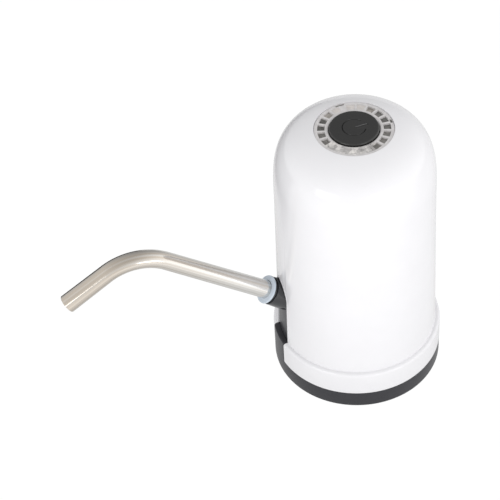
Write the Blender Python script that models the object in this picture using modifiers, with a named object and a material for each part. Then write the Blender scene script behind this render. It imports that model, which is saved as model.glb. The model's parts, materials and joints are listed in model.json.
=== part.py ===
"""Bottled water pump: a rechargeable pump that stands on the neck of a large water bottle.

Frame: the origin is the centre of the face that rests on the bottle's mouth, +Z is up and the
spout points to -Y. The pump, motor, cell and boards stand on a chassis inside a white shell.
"""

import math

import bmesh
import bpy
from mathutils import Euler, Vector

# Fits shared by all pieces
FIT = 0.0003
RUNNING_FIT = 0.00006
OVERRUN = 0.002
MERGE = 0.00001

# Bottle neck and base
BOTTLE_NECK_RADIUS = 0.0275
NECK_CLEARANCE = 0.00025
GASKET_WALL = 0.0018
GASKET_RIDGE = 0.0004
GASKET_RIDGE_HEIGHT = 0.0016
GASKET_SETBACK = 0.0008
RECESS_WALL = 0.0024
BASE_DEPTH = 0.0200
PLATE_THICKNESS = 0.0022
BAND_HEIGHT = 0.00845
BAND_ROUNDING = 0.0010
BAND_SETBACK = 0.0001
RIM_THICKNESS = 0.0020
LIP_WALL = 0.0012
LIP_RISE = 0.0024

# Outer shell
SHELL_WALL = 0.0020
LEDGE_WIDTH = 0.00205
LEDGE_HEIGHT = 0.0003
LEDGE_SLOPE = 0.0005
BODY_TAPER_SHARE = 0.0128
DOME_START = 0.0706
DOME_HEIGHT = 0.0408
DOME_SIDE_POWER_SHARE = 0.840
DOME_TOP_POWER_SHARE = 0.418
SLOT_HALF_WIDTH = 0.0067
USB_WINDOW_HALF_WIDTH = 0.0050
USB_WINDOW_HALF_HEIGHT = 0.0030

# Spout, its socket and its seal: lengths along the spout's axis start at SPOUT_START
SPOUT_TILT = math.radians(37.84)
SPOUT_FALL = math.radians(33.57)
SPOUT_RADIUS = 0.0040
SPOUT_WALL = 0.0005
SPOUT_RISE_LENGTH = 0.0621
SPOUT_BEND_RADIUS = 0.02207
SPOUT_FALL_LENGTH = 0.0200
SPOUT_INSERTION = 0.0140
AXIS_HEIGHT = 0.02455
SPOUT_START = 0.0333
PANEL_RADIUS = 0.0341
PANEL_THICKNESS = 0.0031
PANEL_FLANGE_WIDTH = 0.0026
PANEL_FLANGE_THICKNESS = 0.0018
SEAL_FACE = 0.0096
SEAL_GAP = 0.0006
SEAL_FLANGE_THICKNESS = 0.0010
SEAL_FLANGE_WIDTH = 0.0013
SEAL_WALL = 0.0007
SEAL_LIP_THICKNESS = 0.0010
SEAL_LIP_WIDTH = 0.0011
SOCKET_WALL = 0.0011
SOCKET_FLARE = 0.0004
SOCKET_ROOT_DEPTH = 0.0020
SOCKET_FLOOR = 0.0016

# Tube connections
BARB_RADIUS = 0.0027
BARB_LENGTH = 0.0050
BARB_BORE_RADIUS = 0.0017
TUBE_WALL = 0.0010
HOSE_SPIGOT_RADIUS = 0.0034
HOSE_SPIGOT_RIDGE = 0.0005
HOSE_SPIGOT_LENGTH = 0.0120
PORT_FLANGE_RADIUS = 0.0055
PORT_FLANGE_THICKNESS = 0.0015
PORT_BARB_LENGTH = 0.0022

# Top: light ring, button, switch and its board
LIGHT_RING_RADIUS = 0.0161
LIGHT_RING_TOP = 0.1094
LIGHT_RING_LIP = 0.0021
LIGHT_RING_LIP_THICKNESS = 0.0016
BUTTON_RADIUS = 0.01042
BUTTON_PROUD = 0.0010
BUTTON_EDGE = 0.0004
BUTTON_THICKNESS = 0.0020
BUTTON_SKIRT_WALL = 0.0012
BUTTON_LIP = 0.0012
BUTTON_LIP_THICKNESS = 0.0010
BUTTON_STEM_RADIUS = 0.0030
BUTTON_TRAVEL = 0.0005
SYMBOL_RADIUS = 0.00485
SYMBOL_LINE = 0.0005
SYMBOL_DEPTH = 0.0003
SYMBOL_BAR_LENGTH = 0.0058
SYMBOL_GAP = math.radians(70)
SWITCH_WIDTH = 0.0062
SWITCH_HEIGHT = 0.0036
SWITCH_PLUNGER_RADIUS = 0.0017
SWITCH_PLUNGER_PROUD = 0.0012
SWITCH_PLUNGER_DEPTH = 0.0016
BUTTON_BOARD_RADIUS = 0.0168
BOARD_THICKNESS = 0.0016
LED_WIDTH = 0.0028
LED_HEIGHT = 0.0014
LED_COUNT = 4
LEG_RADIUS = 0.0018
LEG_COUNT = 3

# Gear pump
PUMP_CENTRE = (0.0049, 0.0060)
PUMP_HEIGHT = 0.0095
GEAR_MODULE = 0.00085
GEAR_TEETH = 12
GEAR_WIDTH = 0.0050
GEAR_BACKLASH = 0.00016
PRESSURE_ANGLE = math.radians(25)
PUMP_WALL = 0.0022
PUMP_COVER_THICKNESS = 0.0024
PUMP_ROOF_THICKNESS = 0.0035
PUMP_PORT_RADIUS = 0.0016
IDLER_PIN_RADIUS = 0.0012
IDLER_PIN_SEATING = 0.0020
SHAFT_SEAL_WALL = 0.0018
SHAFT_SEAL_THICKNESS = 0.0015
EAR_RADIUS = 0.0027

# Motor
MOTOR_RADIUS = 0.0122
MOTOR_LENGTH = 0.0308
MOTOR_WALL = 0.0008
MOTOR_FRONT_THICKNESS = 0.0020
END_CAP_THICKNESS = 0.0028
MAGNET_THICKNESS = 0.0022
MAGNET_LENGTH = 0.0190
MAGNET_SPAN = math.radians(140)
AIR_GAP = 0.0005
ARMATURE_LENGTH = 0.0170
COMMUTATOR_RADIUS = 0.0032
COMMUTATOR_LENGTH = 0.0036
SHAFT_RADIUS = 0.00115
BEARING_WALL = 0.0016
BEARING_LENGTH = 0.0020
BRUSH_LENGTH = 0.0035
BRUSH_WIDTH = 0.0020
TERMINAL_WIDTH = 0.0024
TERMINAL_THICKNESS = 0.0006
TERMINAL_HEIGHT = 0.0030

# Cell
CELL_RADIUS = 0.0092
CELL_LENGTH = 0.0650
CELL_SIDE_GAP = 0.0045
CELL_OFFSET = 0.0060
CELL_TAB_WIDTH = 0.0050
CELL_TAB_THICKNESS = 0.0004
CELL_CAP_RADIUS = 0.0030
CELL_CAP_HEIGHT = 0.0008

# Chassis
FLOOR_THICKNESS = 0.0020
FLOOR_GAP = 0.0026
UPRIGHT_THICKNESS = 0.0018
UPRIGHT_TOP = 0.0720
UPRIGHT_REACH = 0.0190
COLLAR_WALL = 0.0015
COLLAR_HEIGHT = 0.0080
CELL_CUP_HEIGHT = 0.0045
CUP_NOTCH_WIDTH = 0.0060
PUMP_POST_RADIUS = 0.0022
BOSS_RADIUS = 0.0030
BOSS_HEIGHT = 0.0035
BOARD_POST_WIDTH = 0.0050
BOARD_POST_HEIGHT = 0.0170

# Main board and charging port
MAIN_BOARD_FACE = 0.0266
MAIN_BOARD_WIDTH = 0.0280
MAIN_BOARD_HEIGHT = 0.0400
USB_HEIGHT = 0.0240
USB_WIDTH = 0.0076
USB_THICKNESS = 0.0030
USB_SHELL_WALL = 0.0004
USB_MOUTH_DEPTH = 0.0040
CHIP_WIDTH = 0.0060
CHIP_HEIGHT = 0.0016

# Screws and wires
SCREW_RADIUS = 0.0010
SCREW_HEAD_RADIUS = 0.0019
SCREW_HEAD_HEIGHT = 0.0012
SCREW_BITE = 0.0040
BASE_SCREW_CIRCLE = 0.0170
BASE_SCREW_COUNT = 3
WIRE_RADIUS = 0.0006
PAD_PITCH = 0.0030

# Sides of the round pieces
LARGE_SIDES = 48
MEDIUM_SIDES = 24
SMALL_SIDES = 12
SPOUT_SIDES = 16
WIRE_SIDES = 6

for old in list(bpy.data.objects):
    bpy.data.objects.remove(old)
parts = bpy.data.collections.new("bottled_water_pump")
cutters = bpy.data.collections.new("cutters")
for group in (parts, cutters):
    bpy.context.scene.collection.children.link(group)


def finish(name, colour, roughness, metallic=0.0):
    material = bpy.data.materials.new(name)
    material.use_nodes = True
    shader = material.node_tree.nodes["Principled BSDF"]
    shader.inputs["Base Color"].default_value = (*colour, 1)
    shader.inputs["Roughness"].default_value = roughness
    shader.inputs["Metallic"].default_value = metallic
    material.diffuse_color = (*colour, 1)
    return material


def keep(obj, material):
    parts.objects.link(obj)
    obj.data.materials.append(material)
    return obj


def tool(obj):
    """Marks a shape as a cutter or a filler of another shape."""
    for group in obj.users_collection:
        group.objects.unlink(obj)
    cutters.objects.link(obj)
    obj.hide_render = True
    obj.display_type = "WIRE"
    return obj


def flank_radius(radius, sides):
    """Radius of the corners of a polygon whose flats lie at this radius."""
    return radius / math.cos(math.pi / sides)


def turned(name, profile, sides, at=(0, 0, 0), closed=False):
    """Turns (radius, height) pairs about local Z, from the top of the outer side downwards."""
    mesh = bpy.data.meshes.new(name)
    points = [(radius, 0, height) for radius, height in profile]
    edges = [(i, i + 1) for i in range(len(points) - 1)]
    if closed:
        edges.append((len(points) - 1, 0))
    mesh.from_pydata(points, edges, [])
    obj = bpy.data.objects.new(name, mesh)
    obj.location = at
    screw = obj.modifiers.new("turn", "SCREW")
    screw.steps = screw.render_steps = sides
    screw.use_merge_vertices = True
    screw.merge_threshold = MERGE
    screw.use_smooth_shade = True
    return obj


def rod(name, radius, low, high, sides, at=(0, 0)):
    """An upright cylinder between two heights."""
    profile = [(0, high), (radius, high), (radius, low), (0, low)]
    return turned(name, profile, sides, (*at, 0))


def sleeve(name, bore, radius, low, high, sides, at=(0, 0)):
    """An upright tube between two heights."""
    profile = [(radius, high), (radius, low), (bore, low), (bore, high)]
    return turned(name, profile, sides, (*at, 0), closed=True)


def box(name, low, high):
    """A box between two corners."""
    low, high = Vector(low), Vector(high)
    mesh = bpy.data.meshes.new(name)
    shape = bmesh.new()
    bmesh.ops.create_cube(shape, size=1)
    bmesh.ops.scale(shape, vec=high - low, verts=shape.verts)
    shape.to_mesh(mesh)
    shape.free()
    obj = bpy.data.objects.new(name, mesh)
    obj.location = (low + high) / 2
    return obj


def as_mesh(curve_object):
    """Makes a curve object a mesh object with its caps welded."""
    parts.objects.link(curve_object)
    graph = bpy.context.evaluated_depsgraph_get()
    mesh = bpy.data.meshes.new_from_object(curve_object.evaluated_get(graph))
    shape = bmesh.new()
    shape.from_mesh(mesh)
    bmesh.ops.remove_doubles(shape, verts=shape.verts, dist=MERGE)
    bmesh.ops.recalc_face_normals(shape, faces=shape.faces)
    shape.to_mesh(mesh)
    shape.free()
    name = curve_object.name
    matrix = curve_object.matrix_world.copy()
    bpy.data.objects.remove(curve_object)
    obj = bpy.data.objects.new(name, mesh)
    obj.matrix_world = matrix
    return obj


def prism(name, outline, low, high):
    """A flat outline of (x, y) pairs raised between two heights."""
    curve = bpy.data.curves.new(name, "CURVE")
    curve.dimensions = "2D"
    curve.fill_mode = "BOTH"
    curve.extrude = (high - low) / 2
    spline = curve.splines.new("POLY")
    spline.points.add(len(outline) - 1)
    for point, (x, y) in zip(spline.points, outline):
        point.co = (x, y, 0, 1)
    spline.use_cyclic_u = True
    obj = bpy.data.objects.new(name, curve)
    obj.location = (0, 0, (high + low) / 2)
    return as_mesh(obj)


def swept(name, route, radius, sides, capped=True):
    """A round rod along a list of points."""
    curve = bpy.data.curves.new(name, "CURVE")
    curve.dimensions = "3D"
    curve.bevel_depth = radius
    curve.bevel_resolution = sides // 2 - 2
    curve.use_fill_caps = capped
    spline = curve.splines.new("POLY")
    spline.points.add(len(route) - 1)
    for point, place in zip(spline.points, route):
        point.co = (*place, 1)
    return as_mesh(bpy.data.objects.new(name, curve))


def tube_of(name, route, radius, thickness, sides):
    """An open tube along a list of points, with a wall."""
    tube = swept(name, route, radius, sides, capped=False)
    wall = tube.modifiers.new("wall", "SOLIDIFY")
    wall.thickness = thickness
    wall.offset = -1
    return tube


def smooth_route(knots, steps):
    """Points of a smooth curve through the knots of a wire or tube."""
    knots = [Vector(knot) for knot in knots]
    ends = [2 * knots[0] - knots[1], *knots, 2 * knots[-1] - knots[-2]]
    route = []
    for i in range(1, len(ends) - 2):
        before, start, stop, after = ends[i - 1 : i + 3]
        for step in range(steps):
            t = step / steps
            route.append(
                start
                + (stop - before) * t / 2
                + (2 * before - 5 * start + 4 * stop - after) * t**2 / 2
                + (3 * start - before - 3 * stop + after) * t**3 / 2
            )
    return [*route, knots[-1]]


def boolean(obj, other, operation):
    modifier = obj.modifiers.new(operation.lower(), "BOOLEAN")
    modifier.operation = operation
    modifier.object = tool(other)
    return obj


def cut(obj, *others):
    for other in others:
        boolean(obj, other, "DIFFERENCE")
    return obj


def add(obj, *others):
    for other in others:
        boolean(obj, other, "UNION")
    return obj


def use_manifold(obj):
    """Changes the solver of a piece on which the exact one leaves small openings."""
    for modifier in obj.modifiers:
        if modifier.type == "BOOLEAN":
            modifier.solver = "MANIFOLD"


def arc(centre, radius, start, stop, steps):
    """Points of an arc, ends included."""
    return [
        (
            centre[0] + radius * math.cos(start + (stop - start) * i / steps),
            centre[1] + radius * math.sin(start + (stop - start) * i / steps),
        )
        for i in range(steps + 1)
    ]


def stadium(first, second, radius, steps):
    """Outline of two circles side by side along X and the straight sides that join them."""
    right = arc(second, radius, -math.pi / 2, math.pi / 2, steps)
    return right + arc(first, radius, math.pi / 2, 3 * math.pi / 2, steps)


def polar(radius, angle, centre=(0, 0)):
    return (centre[0] + radius * math.cos(angle), centre[1] + radius * math.sin(angle))


def fastener(name, head_face, direction, length):
    """A screw whose head's underside is centred on head_face and whose shank runs along direction."""
    profile = [
        (0, length),
        (SCREW_RADIUS, length),
        (SCREW_RADIUS, 0),
        (SCREW_HEAD_RADIUS, 0),
        (SCREW_HEAD_RADIUS, -SCREW_HEAD_HEIGHT),
        (0, -SCREW_HEAD_HEIGHT),
    ]
    obj = turned(name, profile, SMALL_SIDES, head_face)
    obj.rotation_mode = "QUATERNION"
    obj.rotation_quaternion = Vector(direction).to_track_quat("Z", "Y")
    return keep(obj, zinc)


def screw_hole(name, head_face, direction, length):
    """Clearance around a screw's shank."""
    ends = (length + FIT, -OVERRUN)
    profile = [(0, ends[0]), (SCREW_RADIUS + FIT, ends[0]), (SCREW_RADIUS + FIT, ends[1]), (0, ends[1])]
    obj = turned(name, profile, SMALL_SIDES, head_face)
    obj.rotation_mode = "QUATERNION"
    obj.rotation_quaternion = Vector(direction).to_track_quat("Z", "Y")
    return obj


white = finish("white_abs", (0.86, 0.86, 0.87), 0.16)
black = finish("black_abs", (0.055, 0.055, 0.06), 0.34)
cap_black = finish("button_black", (0.03, 0.03, 0.03), 0.45)
clear = finish("clear_polycarbonate", (0.80, 0.82, 0.82), 0.12)
silicone = finish("pale_silicone", (0.70, 0.76, 0.84), 0.35)
grey_rubber = finish("grey_rubber", (0.10, 0.10, 0.11), 0.70)
steel = finish("stainless_steel", (0.72, 0.70, 0.66), 0.16, 1.0)
zinc = finish("zinc_steel", (0.60, 0.60, 0.62), 0.35, 1.0)
dark_iron = finish("motor_iron", (0.30, 0.30, 0.31), 0.50, 1.0)
magnet_grey = finish("ferrite", (0.08, 0.08, 0.08), 0.80)
copper = finish("copper", (0.80, 0.42, 0.22), 0.30, 1.0)
brass = finish("brass", (0.78, 0.62, 0.28), 0.30, 1.0)
nylon = finish("natural_nylon", (0.80, 0.78, 0.70), 0.50)
board_green = finish("board_green", (0.03, 0.25, 0.10), 0.50)
chip_black = finish("chip_black", (0.03, 0.03, 0.03), 0.60)
cell_blue = finish("cell_wrap", (0.06, 0.22, 0.50), 0.35)
wire_red = finish("wire_red", (0.60, 0.03, 0.03), 0.50)
wire_black = finish("wire_black", (0.03, 0.03, 0.03), 0.50)
led_white = finish("led_white", (0.90, 0.90, 0.80), 0.40)

# Levels and radii that several pieces share
gasket_bore = BOTTLE_NECK_RADIUS + NECK_CLEARANCE
gasket_radius = gasket_bore + GASKET_WALL
recess_radius = gasket_radius + FIT
recess_outer = recess_radius + RECESS_WALL
inner_radius = recess_outer + FIT
body_radius = inner_radius + SHELL_WALL
skirt_radius = body_radius + LEDGE_WIDTH
base_radius = skirt_radius - BAND_SETBACK
base_bottom = -BASE_DEPTH
band_top = base_bottom + BAND_HEIGHT
skirt_bottom = band_top + FIT
skirt_inner = skirt_radius - SHELL_WALL
body_start = LEDGE_HEIGHT + LEDGE_SLOPE
floor_low = PLATE_THICKNESS + FIT
floor_top = floor_low + FLOOR_THICKNESS


def wall_radius(height):
    """Outer radius of the shell's straight wall."""
    return body_radius - BODY_TAPER_SHARE * (height - body_start)


dome_radius = wall_radius(DOME_START)


def dome_profile(inset, rim_radius, steps):
    """(radius, height) pairs of the dome from its rim down to the wall, set in by a wall."""
    radius = dome_radius - inset
    height = DOME_HEIGHT - inset
    rim = math.acos((rim_radius / radius) ** (1 / DOME_SIDE_POWER_SHARE))
    pairs = []
    for i in range(steps):
        t = rim * (1 - i / steps)
        side = math.cos(t) ** DOME_SIDE_POWER_SHARE
        top = math.sin(t) ** DOME_TOP_POWER_SHARE
        pairs.append((radius * side, DOME_START + height * top))
    return pairs


def dome_underside(radius):
    """Height of the dome's inner face at a radius."""
    return dome_profile(SHELL_WALL, radius, 1)[0][1]


# The spout's frame: local Z runs out along the tube.
spout_axis = bpy.data.objects.new("spout_axis", None)
spout_axis.location = (0, -SPOUT_START, AXIS_HEIGHT)
spout_axis.rotation_euler = (math.pi / 2 - SPOUT_TILT, 0, 0)
parts.objects.link(spout_axis)


def along_spout(obj):
    """Places an object in the spout's frame."""
    obj.location = spout_axis.location + Euler(spout_axis.rotation_euler).to_matrix() @ obj.location
    obj.rotation_euler = spout_axis.rotation_euler
    return obj


def slot_outline(half_width, low, centre_height):
    """Front view of the slot: straight sides and a round top."""
    top = arc((0, centre_height), half_width, 0, math.pi, 12)
    return [*top, (-half_width, low), (half_width, low)]


def front_prism(name, outline, front, back):
    """An outline of (x, z) pairs that runs from y = -front back to y = -back."""
    obj = prism(name, outline, back, front)
    obj.rotation_euler = (math.pi / 2, 0, 0)
    obj.location = (0, -(front + back) / 2, 0)
    return obj


# Base: band, bottle recess, seat plate and the black tongue below the spout
gear_distance = GEAR_MODULE * GEAR_TEETH
tip_radius = GEAR_MODULE * (GEAR_TEETH + 2) / 2
chamber_radius = tip_radius + FIT
pump_radius = chamber_radius + PUMP_WALL
drive_centre = (PUMP_CENTRE[0] + gear_distance / 2, PUMP_CENTRE[1])
idler_centre = (PUMP_CENTRE[0] - gear_distance / 2, PUMP_CENTRE[1])
port_offset = chamber_radius - gear_distance / 2 + PUMP_PORT_RADIUS / 2
inlet_place = (PUMP_CENTRE[0], PUMP_CENTRE[1] + port_offset)
lip_radius = skirt_inner - FIT
tongue_half_width = SLOT_HALF_WIDTH - FIT
rounding = arc(
    (base_radius - BAND_ROUNDING, base_bottom + BAND_ROUNDING), BAND_ROUNDING, 0, -math.pi / 2, 3
)
base = turned(
    "base_cup",
    [
        (0, PLATE_THICKNESS),
        (recess_outer, PLATE_THICKNESS),
        (recess_outer, base_bottom + RIM_THICKNESS),
        (lip_radius - LIP_WALL, base_bottom + RIM_THICKNESS),
        (lip_radius - LIP_WALL, band_top + LIP_RISE),
        (lip_radius, band_top + LIP_RISE),
        (lip_radius, band_top),
        (base_radius, band_top),
        *rounding,
        (recess_radius, base_bottom),
        (recess_radius, 0),
        (0, 0),
    ],
    LARGE_SIDES,
)
keep(base, black)
tongue = turned(
    "tongue",
    [
        (skirt_radius, LEDGE_HEIGHT),
        (skirt_radius, band_top - BAND_SETBACK),
        (recess_radius + RECESS_WALL / 2, band_top - BAND_SETBACK),
        (recess_radius + RECESS_WALL / 2, LEDGE_HEIGHT),
    ],
    LARGE_SIDES,
    closed=True,
)
tongue_block = box(
    "tongue_block",
    (-tongue_half_width, -skirt_radius - OVERRUN, base_bottom),
    (tongue_half_width, 0, PLATE_THICKNESS),
)
boolean(tongue, tongue_block, "INTERSECT")
panel_back = PANEL_RADIUS - PANEL_THICKNESS
notch_back = math.sqrt(panel_back**2 - SLOT_HALF_WIDTH**2) - FIT
panel_notch = box(
    "panel_notch",
    (-SLOT_HALF_WIDTH, -skirt_radius - OVERRUN, LEDGE_HEIGHT),
    (SLOT_HALF_WIDTH, -notch_back, PLATE_THICKNESS + OVERRUN),
)
port_hole = rod(
    "port_hole", HOSE_SPIGOT_RADIUS + FIT, -OVERRUN, PLATE_THICKNESS + OVERRUN, MEDIUM_SIDES, inlet_place
)
add(base, tongue)
cut(base, panel_notch, port_hole)
base_screw_length = PLATE_THICKNESS + FIT + FLOOR_THICKNESS + SCREW_BITE - SCREW_HEAD_HEIGHT - FIT
base_screw_places = [
    polar(BASE_SCREW_CIRCLE, math.pi / 2 + 2 * math.pi * i / BASE_SCREW_COUNT)
    for i in range(BASE_SCREW_COUNT)
]
for i, place in enumerate(base_screw_places):
    head_face = (*place, SCREW_HEAD_HEIGHT + FIT)
    sink = rod(
        f"sink_{i}",
        SCREW_HEAD_RADIUS + FIT,
        -OVERRUN,
        SCREW_HEAD_HEIGHT + FIT + FIT,
        SMALL_SIDES,
        place,
    )
    cut(base, sink, screw_hole(f"base_hole_{i}", head_face, (0, 0, 1), base_screw_length))
    fastener(f"base_screw_{i + 1}", (*place, SCREW_HEAD_HEIGHT + FIT), (0, 0, 1), base_screw_length)
use_manifold(base)

gasket_low = base_bottom + GASKET_SETBACK
gasket = turned(
    "neck_gasket",
    [
        (gasket_radius, -FIT),
        (gasket_radius, gasket_low),
        (gasket_bore, gasket_low),
        (gasket_bore, gasket_low + GASKET_RIDGE_HEIGHT),
        (gasket_bore + GASKET_RIDGE, gasket_low + 2 * GASKET_RIDGE_HEIGHT),
        (gasket_bore + GASKET_RIDGE, -3 * GASKET_RIDGE_HEIGHT),
        (gasket_bore, -2 * GASKET_RIDGE_HEIGHT),
        (gasket_bore, -FIT),
    ],
    LARGE_SIDES,
    closed=True,
)
keep(gasket, grey_rubber)

# Outer shell: skirt, straight wall and dome, open at the top, the slot and the charging window
ring_hole = LIGHT_RING_RADIUS + FIT
inner_taper = wall_radius(DOME_START) - SHELL_WALL
shell = turned(
    "outer_shell",
    [
        *dome_profile(0, ring_hole, 10),
        (dome_radius, DOME_START),
        (body_radius, body_start),
        (skirt_radius - LEDGE_SLOPE, LEDGE_HEIGHT),
        (skirt_radius, LEDGE_HEIGHT - LEDGE_SLOPE),
        (skirt_radius, skirt_bottom),
        (skirt_inner, skirt_bottom),
        (skirt_inner, LEDGE_HEIGHT - SHELL_WALL),
        (inner_radius, LEDGE_HEIGHT - SHELL_WALL),
        (inner_taper, DOME_START),
        *reversed(dome_profile(SHELL_WALL, ring_hole, 5)),
    ],
    LARGE_SIDES,
    closed=True,
)
keep(shell, white)
slot = front_prism(
    "slot",
    slot_outline(SLOT_HALF_WIDTH, skirt_bottom - OVERRUN, AXIS_HEIGHT),
    skirt_radius + OVERRUN,
    recess_radius / 2,
)
seal_bore = flank_radius(SPOUT_RADIUS + RUNNING_FIT, SPOUT_SIDES)
seal_radius = seal_bore + SEAL_WALL
socket_bore = flank_radius(seal_radius + RUNNING_FIT, MEDIUM_SIDES)
socket_radius = socket_bore + SOCKET_WALL
socket_mouth = SEAL_FACE - SEAL_FLANGE_THICKNESS - SEAL_GAP
seal_bottom = SEAL_FACE - SPOUT_INSERTION - FIT - SEAL_LIP_THICKNESS
socket_floor_top = seal_bottom - FIT
socket_bottom = socket_floor_top - SOCKET_FLOOR
barb_end = socket_bottom - BARB_LENGTH
socket_root = socket_radius + SOCKET_FLARE
socket_clearance = along_spout(
    rod("socket_clearance", socket_root + FIT, socket_bottom, socket_mouth + OVERRUN, MEDIUM_SIDES)
)
usb_window = box(
    "usb_window",
    (-USB_WINDOW_HALF_WIDTH, recess_radius / 2, USB_HEIGHT - USB_WINDOW_HALF_HEIGHT),
    (USB_WINDOW_HALF_WIDTH, skirt_radius + OVERRUN, USB_HEIGHT + USB_WINDOW_HALF_HEIGHT),
)
cut(shell, slot, socket_clearance, usb_window)

# Spine panel with the spout's socket and its tube barb
panel_half_width = SLOT_HALF_WIDTH - FIT
flange_half_width = panel_half_width + PANEL_FLANGE_WIDTH
flange_radius = wall_radius(AXIS_HEIGHT + flange_half_width) - SHELL_WALL - FIT


def curved_panel(name, half_width, low, rear_radius, front_radius):
    """A panel with a round top that follows the body's curve."""
    front = front_prism(
        name, slot_outline(half_width, low, AXIS_HEIGHT), skirt_radius, recess_radius / 2
    )
    wall_levels = (base_bottom, AXIS_HEIGHT + half_width + OVERRUN)
    wall = sleeve(f"{name}_wall", rear_radius, front_radius, *wall_levels, LARGE_SIDES)
    return boolean(front, wall, "INTERSECT")


panel = curved_panel(
    "spine_panel", panel_half_width, LEDGE_HEIGHT + FIT, panel_back, PANEL_RADIUS
)
keep(panel, black)
flange = curved_panel(
    "panel_flange",
    flange_half_width,
    floor_top + FIT,
    panel_back - PANEL_FLANGE_THICKNESS,
    flange_radius,
)
socket_body = along_spout(
    turned(
        "socket_body",
        [
            (0, socket_mouth),
            (socket_radius, socket_mouth),
            (socket_root, 0),
            (socket_root, -SOCKET_ROOT_DEPTH),
            (socket_radius, -SOCKET_ROOT_DEPTH),
            (socket_radius, socket_bottom),
            (BARB_RADIUS, socket_bottom),
            (BARB_RADIUS, barb_end),
            (0, barb_end),
        ],
        MEDIUM_SIDES,
    )
)
socket_cavity = along_spout(
    turned(
        "socket_cavity",
        [
            (0, socket_mouth + OVERRUN),
            (socket_bore, socket_mouth + OVERRUN),
            (socket_bore, socket_floor_top),
            (BARB_BORE_RADIUS, socket_floor_top),
            (BARB_BORE_RADIUS, barb_end - OVERRUN),
            (0, barb_end - OVERRUN),
        ],
        MEDIUM_SIDES,
    )
)
add(panel, flange, socket_body)
cut(panel, socket_cavity)

seal = turned(
    "spout_seal",
    [
        (seal_radius + SEAL_FLANGE_WIDTH, SEAL_FACE),
        (seal_radius + SEAL_FLANGE_WIDTH, SEAL_FACE - SEAL_FLANGE_THICKNESS),
        (seal_radius, SEAL_FACE - SEAL_FLANGE_THICKNESS),
        (seal_radius, seal_bottom),
        (seal_bore - SEAL_LIP_WIDTH, seal_bottom),
        (seal_bore - SEAL_LIP_WIDTH, seal_bottom + SEAL_LIP_THICKNESS),
        (seal_bore, seal_bottom + SEAL_LIP_THICKNESS),
        (seal_bore, SEAL_FACE),
    ],
    MEDIUM_SIDES,
    closed=True,
)
seal.parent = spout_axis
keep(seal, silicone)

# Spout: a straight run, one bend and a falling end, as an open tube with a wall
bend_angle = SPOUT_TILT + SPOUT_FALL
bend_steps = 10
spout_route = [Vector((0, 0, SEAL_FACE - SPOUT_INSERTION))]
for i in range(bend_steps + 1):
    turn = bend_angle * i / bend_steps
    spout_route.append(
        Vector(
            (
                0,
                -SPOUT_BEND_RADIUS * (1 - math.cos(turn)),
                SPOUT_RISE_LENGTH + SPOUT_BEND_RADIUS * math.sin(turn),
            )
        )
    )
fall = Vector((0, -math.sin(bend_angle), math.cos(bend_angle)))
spout_route.append(spout_route[-1] + SPOUT_FALL_LENGTH * fall)
spout = tube_of("spout_tube", spout_route, SPOUT_RADIUS, SPOUT_WALL, SPOUT_SIDES)
spout.parent = spout_axis
keep(spout, steel)

# Suction port: the spigot for the bottle hose below the plate and the barb above it
port = turned(
    "suction_port",
    [
        (BARB_RADIUS, floor_low + PORT_FLANGE_THICKNESS + PORT_BARB_LENGTH),
        (BARB_RADIUS, floor_low + PORT_FLANGE_THICKNESS),
        (PORT_FLANGE_RADIUS, floor_low + PORT_FLANGE_THICKNESS),
        (PORT_FLANGE_RADIUS, floor_low),
        (HOSE_SPIGOT_RADIUS, floor_low),
        (HOSE_SPIGOT_RADIUS, BARB_RADIUS - HOSE_SPIGOT_LENGTH),
        (HOSE_SPIGOT_RADIUS + HOSE_SPIGOT_RIDGE, BARB_RADIUS - HOSE_SPIGOT_LENGTH),
        (HOSE_SPIGOT_RADIUS - HOSE_SPIGOT_RIDGE, -HOSE_SPIGOT_LENGTH),
        (BARB_BORE_RADIUS, -HOSE_SPIGOT_LENGTH),
        (BARB_BORE_RADIUS, floor_low + PORT_FLANGE_THICKNESS + PORT_BARB_LENGTH),
    ],
    MEDIUM_SIDES,
    (*inlet_place, 0),
    closed=True,
)
keep(port, nylon)

# Gear pump: cover, body, two meshed gears, the idler's pin and the shaft seal
cover_top = PUMP_HEIGHT + PUMP_COVER_THICKNESS
body_low = cover_top + FIT
gear_low = cover_top + FIT
gear_high = gear_low + GEAR_WIDTH
chamber_top = gear_high + FIT
body_top = chamber_top + PUMP_ROOF_THICKNESS
outline = stadium(idler_centre, drive_centre, pump_radius, 12)
nozzle_height = (gear_low + gear_high) / 2
nozzle_start = PUMP_CENTRE[1] - pump_radius + PUMP_WALL / 2
nozzle_end = PUMP_CENTRE[1] - pump_radius - BARB_LENGTH


def ear_places():
    """Centres of the two screw ears, one beside each gear."""
    reach = pump_radius + EAR_RADIUS / 3
    return [
        polar(reach, -math.pi / 3, drive_centre),
        polar(reach, 2 * math.pi / 3, idler_centre),
    ]


def y_rod(name, radius, start, stop, sides, x, z):
    """A cylinder along Y between two places."""
    obj = turned(name, [(0, start), (radius, start), (radius, stop), (0, stop)], sides)
    obj.rotation_euler = (-math.pi / 2, 0, 0)
    obj.location = (x, 0, z)
    return obj


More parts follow.
